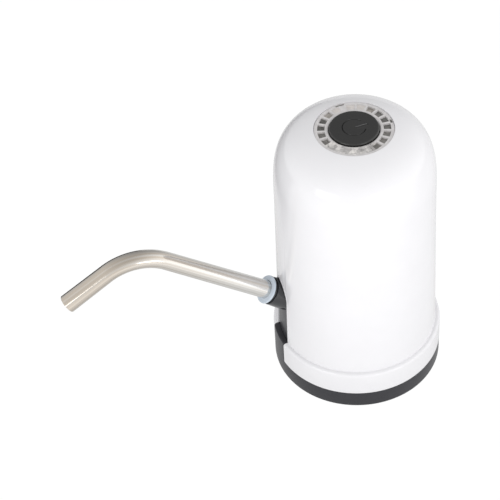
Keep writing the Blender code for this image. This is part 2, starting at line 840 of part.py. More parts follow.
pump_body = prism("pump_body", outline, body_low, body_top)
keep(pump_body, nylon)
pump_cover = prism("pump_cover", outline, PUMP_HEIGHT, cover_top)
keep(pump_cover, nylon)
pump_screw_length = PUMP_COVER_THICKNESS + GEAR_WIDTH + PUMP_ROOF_THICKNESS / 2
for i, place in enumerate(ear_places()):
    add(pump_body, rod(f"body_ear_{i}", EAR_RADIUS, body_low, body_top, SMALL_SIDES, place))
    add(pump_cover, rod(f"cover_ear_{i}", EAR_RADIUS, PUMP_HEIGHT, cover_top, SMALL_SIDES, place))
add(
    pump_body,
    y_rod("nozzle", BARB_RADIUS, nozzle_start, nozzle_end, MEDIUM_SIDES, PUMP_CENTRE[0], nozzle_height),
)
add(
    pump_cover,
    rod(
        "inlet_nozzle",
        BARB_RADIUS,
        PUMP_HEIGHT - PORT_BARB_LENGTH,
        PUMP_HEIGHT + PUMP_COVER_THICKNESS / 2,
        MEDIUM_SIDES,
        inlet_place,
    ),
)
for label, centre in (("drive", drive_centre), ("idler", idler_centre)):
    cut(
        pump_body,
        rod(f"{label}_chamber", chamber_radius, body_low - OVERRUN, chamber_top, MEDIUM_SIDES, centre),
    )
shaft_bore = flank_radius(SHAFT_RADIUS + RUNNING_FIT, SMALL_SIDES)
shaft_seal_radius = shaft_bore + SHAFT_SEAL_WALL
cut(
    pump_body,
    y_rod(
        "outlet_bore",
        PUMP_PORT_RADIUS,
        PUMP_CENTRE[1],
        nozzle_end - OVERRUN,
        SMALL_SIDES,
        PUMP_CENTRE[0],
        nozzle_height,
    ),
    rod("shaft_hole", shaft_bore, chamber_top - OVERRUN, body_top + OVERRUN, SMALL_SIDES, drive_centre),
    rod(
        "seal_pocket",
        shaft_seal_radius + FIT,
        body_top - SHAFT_SEAL_THICKNESS - FIT,
        body_top + OVERRUN,
        MEDIUM_SIDES,
        drive_centre,
    ),
    rod(
        "pin_seat",
        IDLER_PIN_RADIUS + RUNNING_FIT,
        chamber_top - OVERRUN,
        chamber_top + IDLER_PIN_SEATING + FIT,
        SMALL_SIDES,
        idler_centre,
    ),
)
cut(
    pump_cover,
    rod(
        "inlet_bore",
        PUMP_PORT_RADIUS,
        PUMP_HEIGHT - PORT_BARB_LENGTH - OVERRUN,
        cover_top + OVERRUN,
        SMALL_SIDES,
        inlet_place,
    ),
)
for i, place in enumerate(ear_places()):
    head_face = (*place, PUMP_HEIGHT - FIT)
    cut(pump_body, screw_hole(f"body_hole_{i}", head_face, (0, 0, 1), pump_screw_length))
    cut(pump_cover, screw_hole(f"cover_hole_{i}", head_face, (0, 0, 1), pump_screw_length))
    fastener(f"pump_screw_{i + 1}", head_face, (0, 0, 1), pump_screw_length)


for piece in (pump_body, pump_cover):
    use_manifold(piece)


def involute(angle):
    return math.tan(angle) - angle


def gear_outline(phase):
    """Outline of an involute gear whose first tooth points along the phase angle."""
    pitch = GEAR_MODULE * GEAR_TEETH / 2
    base_circle = pitch * math.cos(PRESSURE_ANGLE)
    root = pitch - GEAR_MODULE * 1.25
    half_tooth = math.pi / (2 * GEAR_TEETH) - GEAR_BACKLASH / (2 * pitch)
    radii = [root, base_circle, (base_circle + pitch) / 2, pitch, (pitch + tip_radius) / 2, tip_radius]

    def half_angle(radius):
        slope = math.acos(min(1, base_circle / radius))
        return half_tooth + involute(PRESSURE_ANGLE) - involute(slope)

    points = []
    for tooth in range(GEAR_TEETH):
        middle = phase + 2 * math.pi * tooth / GEAR_TEETH
        points += [polar(radius, middle - half_angle(radius)) for radius in radii]
        points += [polar(radius, middle + half_angle(radius)) for radius in reversed(radii)]
    return points


def gear(name, centre, phase, bore):
    """A gear about its own axis."""
    obj = prism(name, gear_outline(phase), gear_low, gear_high)
    obj.location = (*centre, obj.location.z)
    keep(obj, nylon)
    return cut(obj, rod(f"{name}_bore", bore, gear_low - OVERRUN, gear_high + OVERRUN, SMALL_SIDES, centre))


gear("drive_gear", drive_centre, math.pi, SHAFT_RADIUS + FIT / 2)
gear(
    "idler_gear",
    idler_centre,
    math.pi / GEAR_TEETH,
    flank_radius(IDLER_PIN_RADIUS + RUNNING_FIT, SMALL_SIDES),
)
keep(
    rod(
        "idler_pin",
        IDLER_PIN_RADIUS,
        cover_top + FIT,
        chamber_top + IDLER_PIN_SEATING,
        SMALL_SIDES,
        idler_centre,
    ),
    zinc,
)
keep(
    sleeve(
        "shaft_seal",
        shaft_bore,
        shaft_seal_radius,
        body_top - SHAFT_SEAL_THICKNESS,
        body_top,
        MEDIUM_SIDES,
        drive_centre,
    ),
    grey_rubber,
)

# Motor: can with its magnets, armature on the shaft, brushes and the end cap
motor_low = body_top + FIT
motor_high = motor_low + MOTOR_LENGTH
can_high = motor_high - END_CAP_THICKNESS - FIT
can_inner = MOTOR_RADIUS - MOTOR_WALL
bearing_radius = shaft_bore + BEARING_WALL
can = turned(
    "motor_can",
    [
        (MOTOR_RADIUS, can_high),
        (MOTOR_RADIUS, motor_low),
        (bearing_radius + FIT, motor_low),
        (bearing_radius + FIT, motor_low + MOTOR_FRONT_THICKNESS),
        (can_inner, motor_low + MOTOR_FRONT_THICKNESS),
        (can_inner, can_high),
    ],
    MEDIUM_SIDES,
    (*drive_centre, 0),
    closed=True,
)
keep(can, zinc)
end_cap = sleeve(
    "motor_end_cap",
    bearing_radius + FIT,
    MOTOR_RADIUS,
    can_high + FIT,
    motor_high,
    MEDIUM_SIDES,
    drive_centre,
)
keep(end_cap, black)
for label, low in (("front", motor_low), ("rear", motor_high - BEARING_LENGTH)):
    keep(
        sleeve(
            f"{label}_bearing",
            shaft_bore,
            bearing_radius,
            low,
            low + BEARING_LENGTH,
            SMALL_SIDES,
            drive_centre,
        ),
        brass,
    )
magnet_outer = can_inner - FIT
magnet_inner = magnet_outer - MAGNET_THICKNESS
armature_radius = magnet_inner - AIR_GAP
magnet_low = motor_low + MOTOR_FRONT_THICKNESS + FIT
for label, middle in (("left", math.pi), ("right", 0)):
    span = (middle - MAGNET_SPAN / 2, middle + MAGNET_SPAN / 2)
    face = arc(drive_centre, magnet_outer, *span, 10) + arc(drive_centre, magnet_inner, *span[::-1], 10)
    keep(prism(f"{label}_magnet", face, magnet_low, magnet_low + MAGNET_LENGTH), magnet_grey)
armature_low = magnet_low + (MAGNET_LENGTH - ARMATURE_LENGTH) / 2
armature_high = armature_low + ARMATURE_LENGTH
press_bore = SHAFT_RADIUS + FIT / 2
keep(
    sleeve(
        "armature", press_bore, armature_radius, armature_low, armature_high, MEDIUM_SIDES, drive_centre
    ),
    copper,
)
commutator_low = armature_high + FIT
keep(
    sleeve(
        "commutator",
        press_bore,
        COMMUTATOR_RADIUS,
        commutator_low,
        commutator_low + COMMUTATOR_LENGTH,
        MEDIUM_SIDES,
        drive_centre,
    ),
    copper,
)
keep(
    rod("motor_shaft", SHAFT_RADIUS, gear_low, motor_high, SMALL_SIDES, drive_centre),
    steel,
)
brush_middle = commutator_low + COMMUTATOR_LENGTH / 2
for label, side in (("front", -1), ("rear", 1)):
    near = drive_centre[1] + side * (COMMUTATOR_RADIUS + FIT)
    far = near + side * BRUSH_LENGTH
    brush = box(
        f"{label}_brush",
        (drive_centre[0] - BRUSH_WIDTH / 2, min(near, far), brush_middle - BRUSH_WIDTH / 2),
        (drive_centre[0] + BRUSH_WIDTH / 2, max(near, far), brush_middle + BRUSH_WIDTH / 2),
    )
    keep(brush, magnet_grey)
    terminal_y = drive_centre[1] + side * MOTOR_RADIUS * 2 / 3
    terminal = box(
        f"{label}_terminal",
        (
            drive_centre[0] - TERMINAL_WIDTH / 2,
            terminal_y - TERMINAL_THICKNESS / 2,
            motor_high + FIT,
        ),
        (
            drive_centre[0] + TERMINAL_WIDTH / 2,
            terminal_y + TERMINAL_THICKNESS / 2,
            motor_high + FIT + TERMINAL_HEIGHT,
        ),
    )
    keep(terminal, brass)

# Cell with its two welded tabs, beside the motor
upright_right = drive_centre[0] - MOTOR_RADIUS - CELL_SIDE_GAP
upright_left = upright_right - UPRIGHT_THICKNESS
cell_centre = (upright_left - COLLAR_WALL / 2 - CELL_RADIUS, CELL_OFFSET)
cell_low = floor_top + FIT + CELL_TAB_THICKNESS + FIT
cell_high = cell_low + CELL_LENGTH
keep(
    turned(
        "battery_cell",
        [
            (0, cell_high),
            (CELL_CAP_RADIUS, cell_high),
            (CELL_CAP_RADIUS, cell_high - CELL_CAP_HEIGHT),
            (CELL_RADIUS, cell_high - CELL_CAP_HEIGHT),
            (CELL_RADIUS, cell_low),
            (0, cell_low),
        ],
        MEDIUM_SIDES,
        (*cell_centre, 0),
    ),
    cell_blue,
)
for label, low in (("negative", floor_top + FIT), ("positive", cell_high + FIT)):
    tab = box(
        f"battery_{label}_tab",
        (cell_centre[0] - CELL_TAB_WIDTH / 2, cell_centre[1] - CELL_TAB_WIDTH / 2, low),
        (
            cell_centre[0] + CELL_TAB_WIDTH / 2,
            cell_centre[1] + CELL_RADIUS,
            low + CELL_TAB_THICKNESS,
        ),
    )
    keep(tab, zinc)

# Chassis: floor, upright with its window, cell and motor collars, posts and screw bosses
board_back = MAIN_BOARD_FACE - BOARD_THICKNESS
floor_radius = recess_outer - FLOOR_GAP
chassis = rod("chassis", floor_radius, floor_low, floor_top, LARGE_SIDES)
keep(chassis, white)
collar_bore = CELL_RADIUS + FIT
motor_collar_bore = MOTOR_RADIUS + FIT
cell_collar_middle = cell_high - CELL_LENGTH / 5
cell_collars = (
    (floor_top - FIT, floor_top + CELL_CUP_HEIGHT),
    (cell_collar_middle - COLLAR_HEIGHT / 2, cell_collar_middle + COLLAR_HEIGHT / 2),
)
motor_collar_place = (motor_low + motor_high) / 2
upright = box(
    "upright",
    (upright_left, -UPRIGHT_REACH, floor_low),
    (upright_right, UPRIGHT_REACH, UPRIGHT_TOP),
)
window_margin = FIT + FIT
window = box(
    "upright_window",
    (
        upright_left - OVERRUN,
        PUMP_CENTRE[1] - pump_radius - window_margin,
        PUMP_HEIGHT - SCREW_HEAD_HEIGHT - window_margin,
    ),
    (
        upright_right + OVERRUN,
        ear_places()[1][1] + EAR_RADIUS + FIT,
        body_top + window_margin,
    ),
)
cut(upright, window)
add(chassis, upright)
for i, levels in enumerate(cell_collars):
    collar = rod(f"cell_collar_{i}", collar_bore + COLLAR_WALL, *levels, MEDIUM_SIDES, cell_centre)
    add(chassis, collar)
add(
    chassis,
    rod(
        "motor_collar",
        motor_collar_bore + COLLAR_WALL,
        motor_collar_place - COLLAR_HEIGHT / 2,
        motor_collar_place + COLLAR_HEIGHT / 2,
        MEDIUM_SIDES,
        drive_centre,
    ),
    box(
        "motor_bridge",
        (
            upright_right - UPRIGHT_THICKNESS / 2,
            drive_centre[1] - COLLAR_HEIGHT / 2,
            motor_collar_place - COLLAR_HEIGHT / 2 + FIT,
        ),
        (
            drive_centre[0] - motor_collar_bore + COLLAR_WALL,
            drive_centre[1] + COLLAR_HEIGHT / 2,
            motor_collar_place + COLLAR_HEIGHT / 2 - FIT,
        ),
    ),
)
pump_posts = [
    polar(pump_radius - PUMP_POST_RADIUS, math.pi / 5, drive_centre),
    polar(pump_radius - PUMP_POST_RADIUS, -3 * math.pi / 4, idler_centre),
]
for i, place in enumerate(pump_posts):
    add(
        chassis,
        rod(f"pump_post_{i}", PUMP_POST_RADIUS, floor_low + FIT, PUMP_HEIGHT - FIT, SMALL_SIDES, place),
    )
for i, place in enumerate(base_screw_places):
    add(
        chassis,
        rod(
            f"boss_{i}", BOSS_RADIUS, floor_low + FIT, floor_top + BOSS_HEIGHT, SMALL_SIDES, place
        ),
    )
board_post_x = MAIN_BOARD_WIDTH / 2 - BOARD_POST_WIDTH / 2
board_screw_height = BOARD_POST_HEIGHT - BOARD_POST_WIDTH / 2
for i, side in enumerate((-1, 1)):
    add(
        chassis,
        box(
            f"board_post_{i}",
            (
                side * board_post_x - BOARD_POST_WIDTH / 2,
                board_back - FIT - BOARD_POST_WIDTH,
                floor_low + FIT,
            ),
            (
                side * board_post_x + BOARD_POST_WIDTH / 2,
                board_back - FIT,
                BOARD_POST_HEIGHT,
            ),
        ),
    )
cut(
    chassis,
    rod("cell_space", collar_bore, floor_top + FIT, UPRIGHT_TOP + OVERRUN, MEDIUM_SIDES, cell_centre),
    rod(
        "motor_space",
        motor_collar_bore,
        body_top,
        UPRIGHT_TOP + OVERRUN,
        MEDIUM_SIDES,
        drive_centre,
    ),
    box(
        "cup_notch",
        (cell_centre[0] - CUP_NOTCH_WIDTH / 2, cell_centre[1], floor_top + FIT),
        (
            cell_centre[0] + CUP_NOTCH_WIDTH / 2,
            cell_centre[1] + collar_bore + COLLAR_WALL + OVERRUN,
            floor_top + CELL_CUP_HEIGHT + OVERRUN,
        ),
    ),
    rod(
        "port_space",
        PORT_FLANGE_RADIUS + FIT,
        floor_low - OVERRUN,
        floor_top + OVERRUN,
        MEDIUM_SIDES,
        inlet_place,
    ),
)
for i, place in enumerate(base_screw_places):
    head_face = (*place, SCREW_HEAD_HEIGHT + FIT)
    cut(chassis, screw_hole(f"boss_hole_{i}", head_face, (0, 0, 1), base_screw_length))

# Main board on its posts, with the charging port and the control chip
board_low = floor_top + FIT
main_board = box(
    "main_board",
    (-MAIN_BOARD_WIDTH / 2, board_back, board_low),
    (MAIN_BOARD_WIDTH / 2, MAIN_BOARD_FACE, board_low + MAIN_BOARD_HEIGHT),
)
keep(main_board, board_green)
board_screw_length = BOARD_THICKNESS + FIT + SCREW_BITE
for i, side in enumerate((-1, 1)):
    head_face = (side * board_post_x, MAIN_BOARD_FACE + FIT, board_screw_height)
    cut(main_board, screw_hole(f"board_hole_{i}", head_face, (0, -1, 0), board_screw_length))
    cut(chassis, screw_hole(f"post_hole_{i}", head_face, (0, -1, 0), board_screw_length))
    fastener(f"board_screw_{i + 1}", head_face, (0, -1, 0), board_screw_length)
use_manifold(chassis)

usb_front = math.sqrt(
    (wall_radius(USB_HEIGHT) - SHELL_WALL) ** 2 - USB_WIDTH**2 / 4
) - FIT
usb = box(
    "usb_port",
    (-USB_WIDTH / 2, MAIN_BOARD_FACE + FIT, USB_HEIGHT - USB_THICKNESS / 2),
    (USB_WIDTH / 2, usb_front, USB_HEIGHT + USB_THICKNESS / 2),
)
usb_mouth = box(
    "usb_mouth",
    (
        -USB_WIDTH / 2 + USB_SHELL_WALL,
        usb_front - USB_MOUTH_DEPTH,
        USB_HEIGHT - USB_THICKNESS / 2 + USB_SHELL_WALL,
    ),
    (
        USB_WIDTH / 2 - USB_SHELL_WALL,
        usb_front + OVERRUN,
        USB_HEIGHT + USB_THICKNESS / 2 - USB_SHELL_WALL,
    ),
)
cut(keep(usb, zinc), usb_mouth)
chip_low = board_low + MAIN_BOARD_HEIGHT - 2 * CHIP_WIDTH
chip = box(
    "control_chip",
    (-CHIP_WIDTH / 2, MAIN_BOARD_FACE + FIT, chip_low),
    (CHIP_WIDTH / 2, MAIN_BOARD_FACE + FIT + CHIP_HEIGHT, chip_low + CHIP_WIDTH),
)
keep(chip, chip_black)

# Light ring with its legs, and the board that hangs on them
lip_outer = LIGHT_RING_RADIUS + LIGHT_RING_LIP
lip_top = dome_underside(lip_outer) - FIT
lip_low = lip_top - LIGHT_RING_LIP_THICKNESS
button_top = LIGHT_RING_TOP + BUTTON_PROUD
button_lip_top = lip_low + BUTTON_LIP_THICKNESS / 2
button_lip_low = button_lip_top - BUTTON_LIP_THICKNESS
plunger_top = button_lip_low - FIT
switch_top = plunger_top - SWITCH_PLUNGER_PROUD
switch_low = switch_top - SWITCH_HEIGHT
board_top = switch_low - FIT
button_board_low = board_top - BOARD_THICKNESS
button_bore = BUTTON_RADIUS + FIT
ring = turned(
    "light_ring",
    [
        (LIGHT_RING_RADIUS, LIGHT_RING_TOP),
        (LIGHT_RING_RADIUS, lip_top),
        (lip_outer, lip_top),
        (lip_outer, lip_low),
        (button_bore + BUTTON_LIP, lip_low),
        (button_bore + BUTTON_LIP, button_lip_top + FIT),
        (button_bore, button_lip_top + FIT),
        (button_bore, LIGHT_RING_TOP),
    ],
    LARGE_SIDES,
    closed=True,
)
keep(ring, clear)
leg_circle = (button_bore + BUTTON_LIP + lip_outer) / 2
leg_places = [
    polar(leg_circle, math.pi / 2 + 2 * math.pi * i / LEG_COUNT) for i in range(LEG_COUNT)
]
button_board = rod(
    "button_board", BUTTON_BOARD_RADIUS, button_board_low, board_top, MEDIUM_SIDES
)
keep(button_board, board_green)
leg_screw_length = BOARD_THICKNESS + FIT + SCREW_BITE
for i, place in enumerate(leg_places):
    add(ring, rod(f"leg_{i}", LEG_RADIUS, board_top + FIT, lip_low + FIT, SMALL_SIDES, place))
    head_face = (*place, button_board_low - FIT)
    cut(ring, screw_hole(f"leg_hole_{i}", head_face, (0, 0, 1), leg_screw_length))
    cut(button_board, screw_hole(f"ring_hole_{i}", head_face, (0, 0, 1), leg_screw_length))
    fastener(f"ring_screw_{i + 1}", head_face, (0, 0, 1), leg_screw_length)
use_manifold(ring)
led_circle = button_bore + BUTTON_LIP
for i in range(LED_COUNT):
    place = polar(led_circle, math.pi * (2 * i + 1) / LED_COUNT)
    half = LED_WIDTH / 2
    led = box(
        f"led_{i + 1}",
        (place[0] - half, place[1] - half, board_top + FIT),
        (place[0] + half, place[1] + half, board_top + FIT + LED_HEIGHT),
    )
    keep(led, led_white)

# Power button with its engraved symbol, over the switch and its plunger
button = turned(
    "power_button",
    [
        (0, button_top),
        (BUTTON_RADIUS - BUTTON_EDGE, button_top),
        (BUTTON_RADIUS, button_top - BUTTON_EDGE),
        (BUTTON_RADIUS, button_lip_top),
        (BUTTON_RADIUS + BUTTON_LIP - FIT, button_lip_top),
        (BUTTON_RADIUS + BUTTON_LIP - FIT, button_lip_low),
        (BUTTON_RADIUS - BUTTON_SKIRT_WALL, button_lip_low),
        (BUTTON_RADIUS - BUTTON_SKIRT_WALL, button_top - BUTTON_THICKNESS),
        (BUTTON_STEM_RADIUS, button_top - BUTTON_THICKNESS),
        (BUTTON_STEM_RADIUS, plunger_top + FIT),
        (0, plunger_top + FIT),
    ],
    LARGE_SIDES,
)
keep(button, cap_black)
groove = (button_top - SYMBOL_DEPTH, button_top + OVERRUN)
gap = (math.pi / 2 + SYMBOL_GAP / 2, 5 * math.pi / 2 - SYMBOL_GAP / 2)
circle_outline = arc((0, 0), SYMBOL_RADIUS + SYMBOL_LINE / 2, *gap, 20)
circle_outline += arc((0, 0), SYMBOL_RADIUS - SYMBOL_LINE / 2, *gap[::-1], 20)
cut(
    button,
    prism("symbol_circle", circle_outline, *groove),
    box(
        "symbol_bar",
        (-SYMBOL_LINE / 2, 0, groove[0]),
        (SYMBOL_LINE / 2, SYMBOL_BAR_LENGTH, groove[1]),
    ),
)
half = SWITCH_WIDTH / 2
switch = box("switch_body", (-half, -half, switch_low), (half, half, switch_top))
keep(switch, chip_black)
plunger_low = switch_top - SWITCH_PLUNGER_DEPTH
cut(
    switch,
    rod(
        "plunger_bore",
        flank_radius(SWITCH_PLUNGER_RADIUS + RUNNING_FIT, SMALL_SIDES),
        plunger_low - BUTTON_TRAVEL - FIT,
        switch_top + OVERRUN,
        SMALL_SIDES,
    ),
)
keep(rod("switch_plunger", SWITCH_PLUNGER_RADIUS, plunger_low, plunger_top, SMALL_SIDES), nylon)

# Silicone tubes: up from the suction port, and from the pump to the spout's socket
tube_bore = BARB_RADIUS + FIT
tube_outer = tube_bore + TUBE_WALL
keep(
    sleeve(
        "inlet_tube",
        tube_bore,
        tube_outer,
        floor_low + PORT_FLANGE_THICKNESS + FIT,
        PUMP_HEIGHT - FIT,
        MEDIUM_SIDES,
        inlet_place,
    ),
    silicone,
)
inward = Euler(spout_axis.rotation_euler).to_matrix() @ Vector((0, 0, -1))
socket_back = spout_axis.location - socket_bottom * inward
nozzle_face = PUMP_CENTRE[1] - pump_radius - FIT
nozzle_tip = Vector((PUMP_CENTRE[0], nozzle_end - TUBE_WALL, nozzle_height))
socket_tip = spout_axis.location - (barb_end - TUBE_WALL) * inward
outlet_knots = [
    (PUMP_CENTRE[0], nozzle_face, nozzle_height),
    nozzle_tip,
    nozzle_tip + Vector((0, -BARB_LENGTH, 0)),
    socket_tip + BARB_LENGTH * inward,
    socket_tip,
    socket_back + TUBE_WALL * inward,
]
outlet_route = smooth_route(outlet_knots, 3)
keep(tube_of("outlet_tube", outlet_route, tube_outer, TUBE_WALL, SMALL_SIDES), silicone)

# Wires: each runs from a terminal to the main board, by way of points between its two ends
board_middle = (board_back + MAIN_BOARD_FACE) / 2
terminal_top = motor_high + FIT + TERMINAL_HEIGHT + FIT
terminal_reach = MOTOR_RADIUS * 2 / 3
tab_top = cell_high + FIT + CELL_TAB_THICKNESS


def board_top_point(width_share, pads_in=0):
    """A place on the main board's top edge, some solder pads in from a share of its width."""
    across = width_share * MAIN_BOARD_WIDTH - pads_in * PAD_PITCH
    return (across, board_middle, board_low + MAIN_BOARD_HEIGHT + FIT)


def wire(name, material, start, end, way_shares):
    """A wire whose points between its ends are shares of the way along X, Y and Z."""
    start, end = Vector(start), Vector(end)
    way = [start + Vector(shares) * (end - start) for shares in way_shares]
    route = smooth_route([start, *way, end], 5)
    return keep(swept(name, route, WIRE_RADIUS, WIRE_SIDES), material)


wire(
    "positive_wire",
    wire_red,
    (cell_centre[0], cell_centre[1] + CELL_TAB_WIDTH, tab_top + FIT + WIRE_RADIUS),
    board_top_point(-1 / 4),
    [(0.08, 0.34, 0.02), (0.43, 0.61, 0.23), (0.83, 0.81, 0.60)],
)
wire(
    "negative_wire",
    wire_black,
    (cell_centre[0], cell_centre[1] + CELL_RADIUS + FIT, floor_top + FIT + WIRE_RADIUS),
    (-MAIN_BOARD_WIDTH / 2 - FIT, board_middle, floor_top + CELL_CUP_HEIGHT + BOSS_HEIGHT),
    [(0.01, 0.24, 0.03), (0.16, 0.58, 0.39), (0.45, 0.87, 0.82)],
)
wire(
    "motor_rear_wire",
    wire_red,
    (drive_centre[0], drive_centre[1] + terminal_reach, terminal_top),
    board_top_point(1 / 2, 3),
    [(0, 0.20, -0.22), (0.30, 0.67, 0.16)],
)
wire(
    "motor_front_wire",
    wire_black,
    (drive_centre[0], drive_centre[1] - terminal_reach, terminal_top),
    board_top_point(1 / 2, 0.6),
    [(0.60, 0.11, -0.26), (1.30, 0.43, -0.40), (1.30, 0.76, -0.17), (1.10, 0.92, 0.35)],
)
wire(
    "button_lead",
    grey_rubber,
    (0, SWITCH_WIDTH / 2 + CELL_TAB_WIDTH, button_board_low - FIT),
    board_top_point(0),
    [(0, 0.09, 0.15), (0, 0.49, 0.38), (0, 0.78, 0.64), (0, 0.94, 0.85)],
)
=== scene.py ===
"""Looks of the bottled water pump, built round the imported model."""

import json
import math

import bmesh
import bpy
from mathutils import Matrix, Vector


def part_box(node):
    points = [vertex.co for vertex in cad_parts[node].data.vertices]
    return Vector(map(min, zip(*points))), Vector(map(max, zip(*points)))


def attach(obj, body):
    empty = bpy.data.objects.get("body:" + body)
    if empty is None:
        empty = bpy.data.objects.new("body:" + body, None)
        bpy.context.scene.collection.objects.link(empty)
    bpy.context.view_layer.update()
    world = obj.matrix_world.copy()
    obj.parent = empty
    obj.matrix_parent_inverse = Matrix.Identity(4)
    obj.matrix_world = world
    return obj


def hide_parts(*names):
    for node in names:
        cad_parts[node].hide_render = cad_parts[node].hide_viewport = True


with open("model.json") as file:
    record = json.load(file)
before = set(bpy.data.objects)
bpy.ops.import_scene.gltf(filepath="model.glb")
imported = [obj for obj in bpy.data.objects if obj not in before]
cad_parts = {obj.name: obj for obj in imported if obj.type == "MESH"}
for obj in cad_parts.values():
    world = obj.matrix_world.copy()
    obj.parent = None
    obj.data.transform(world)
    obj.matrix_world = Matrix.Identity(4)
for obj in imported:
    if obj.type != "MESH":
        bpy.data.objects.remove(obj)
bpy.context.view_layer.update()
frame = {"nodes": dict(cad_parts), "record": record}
nodes = frame["nodes"]


# Camera: a long lens looks down on the pump from its right side, with the spout at the
# left of the picture. The aim, tilt and roll come from the outlines in the photograph.
azimuth, elevation, roll = math.radians(75.42), math.radians(45.47), math.radians(-3.865)
aim, distance = Vector((-0.01181, -0.04342, 0.04379)), 0.8364
across = Vector((math.cos(azimuth), math.sin(azimuth), 0))
back = Vector(
    (
        math.sin(azimuth) * math.cos(elevation),
        -math.cos(azimuth) * math.cos(elevation),
        math.sin(elevation),
    )
)
upright = back.cross(across)
camera_data = bpy.data.cameras.new("camera")
camera_data.lens = 141.52
camera_data.clip_start = 0.01
camera = bpy.data.objects.new("camera", camera_data)
turned_axes = Matrix((across, upright, back)).transposed() @ Matrix.Rotation(roll, 3, "Z")
camera.matrix_world = Matrix.Translation(aim + distance * back) @ turned_axes.to_4x4()
bpy.context.scene.collection.objects.link(camera)
bpy.context.scene.camera = camera
bpy.context.scene.view_settings.view_transform = "Standard"


# Outer shell: one moulding of glossy white ABS, with a domed top, a skirt below a rounded
# ledge, a slot for the spout's panel at the front and a small window for charging.
class Flow:
    """A socket of a material, on which Python's operators add the nodes."""

    def __init__(self, tree, socket):
        self.tree = tree
        self.socket = socket

    def feed(self, target, value):
        """Links a value to a node's socket, or sets it there."""
        if isinstance(value, Flow):
            self.tree.links.new(value.socket, target)
        else:
            target.default_value = value

    def node(self, kind, inputs=(), out=0, **settings):
        made = self.tree.nodes.new(kind)
        for name, value in settings.items():
            setattr(made, name, value)
        for name, value in dict(inputs).items():
            self.feed(made.inputs[name], value)
        return Flow(self.tree, made.outputs[out])

    def maths(self, operation, other=0.0):
        return self.node("ShaderNodeMath", {0: self, 1: other}, operation=operation)

    def __add__(self, other):
        return self.maths("ADD", other)

    __radd__ = __add__

    def __sub__(self, other):
        return self.maths("SUBTRACT", other)

    def __rsub__(self, other):
        return self * -1 + other

    def __mul__(self, other):
        return self.maths("MULTIPLY", other)

    __rmul__ = __mul__

    def __gt__(self, other):
        return self.maths("GREATER_THAN", other)

    def mix(self, first, second):
        """One colour where this is 0 and the other where it is 1."""
        made = self.tree.nodes.new("ShaderNodeMix")
        made.data_type = "RGBA"
        sockets = [s for s in made.inputs if s.enabled]
        for target, value in zip(sockets, (self, (*first, 1), (*second, 1))):
            self.feed(target, value)
        return Flow(self.tree, next(s for s in made.outputs if s.enabled))

    def noise(self, scale, stretch=(1, 1, 1), detail=3.0):
        """Noise on this position, with a cell of about 1 / scale metres."""
        place = self.node("ShaderNodeMapping", {"Vector": self, "Scale": stretch})
        return self.node("ShaderNodeTexNoise", {"Vector": place, "Scale": scale, "Detail": detail})

    def bump(self, height, strength, distance):
        """A normal from a height."""
        inputs = {"Height": height, "Strength": strength, "Distance": distance}
        return self.node("ShaderNodeBump", inputs)


def material(name, constants, build):
    """A Principled material whose varying sockets come from build(place), a dictionary."""
    made = bpy.data.materials.new(name)
    made.use_nodes = True
    tree = made.node_tree
    shader = tree.nodes["Principled BSDF"]
    for socket, value in constants.items():
        shader.inputs[socket].default_value = value
    coordinates = tree.nodes.new("ShaderNodeTexCoord")
    place = Flow(tree, coordinates.outputs["Object"])
    for socket, value in build(place).items():
        tree.links.new(value.socket, shader.inputs[socket])
    return made


def show(obj, looks, body, slot, *replaced):
    """Gives a piece its materials and its body, and hides the imported nodes that it stands for."""
    for look in looks:
        obj.data.materials.append(look)
    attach(obj, body)
    if replaced:
        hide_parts(*replaced)


def path(corners, steps=5):
    """Points of a profile whose corners (radius, height, rounding) are rounded."""
    points = []
    for i, (x, z, rounding) in enumerate(corners):
        here = Vector((x, z))
        if not rounding or i in (0, len(corners) - 1):
            points.append(here)
            continue
        before = (Vector(corners[i - 1][:2]) - here).normalized() * rounding
        after = (Vector(corners[i + 1][:2]) - here).normalized() * rounding
        for step in range(steps + 1):
            t = step / steps
            points.append(here + before * (1 - t) ** 2 + after * t**2)
    return points


def finish_mesh(name, shape, sharp=35):
    """An object from a bmesh, smooth but for its sharp edges."""
    bmesh.ops.remove_doubles(shape, verts=shape.verts, dist=1e-6)
    bmesh.ops.recalc_face_normals(shape, faces=shape.faces)
    mesh = bpy.data.meshes.new(name)
    shape.to_mesh(mesh)
    shape.free()
    mesh.shade_smooth()
    mesh.set_sharp_from_angle(angle=math.radians(sharp))
    obj = bpy.data.objects.new(name, mesh)
    bpy.context.scene.collection.objects.link(obj)
    return obj


def spun(points, steps=160, closed=True):
    """A bmesh of a profile turned about Z."""
    shape = bmesh.new()
    verts = [shape.verts.new((p[0], 0, p[1])) for p in points]
    edges = [shape.edges.new(pair) for pair in zip(verts, verts[1:])]
    if closed:
        edges.append(shape.edges.new((verts[-1], verts[0])))
    bmesh.ops.spin(
        shape,
        geom=verts + edges,
        cent=(0, 0, 0),
        axis=(0, 0, 1),
        angle=2 * math.pi,
        steps=steps,
        use_merge=True,
    )
    return shape


def carved(obj, cutter, sharp=35, operation="DIFFERENCE"):
    """Cuts one object with another and removes the cutter."""
    modifier = obj.modifiers.new("cut", "BOOLEAN")
    modifier.object = cutter
    modifier.operation = operation
    bpy.context.view_layer.update()
    graph = bpy.context.evaluated_depsgraph_get()
    mesh = bpy.data.meshes.new_from_object(obj.evaluated_get(graph))
    obj.modifiers.clear()
    obj.data = mesh
    bpy.data.objects.remove(cutter)
    mesh.set_sharp_from_angle(angle=math.radians(sharp))


def softened(obj, width, segments=3):
    """Rounds the sharp edges of a piece."""
    bevel = obj.modifiers.new("edges", "BEVEL")
    bevel.width = width
    bevel.segments = segments
    bevel.limit_method = "ANGLE"
    bevel.angle_limit = math.radians(40)
    bevel.harden_normals = True
    return obj


axis_height = 0.02455


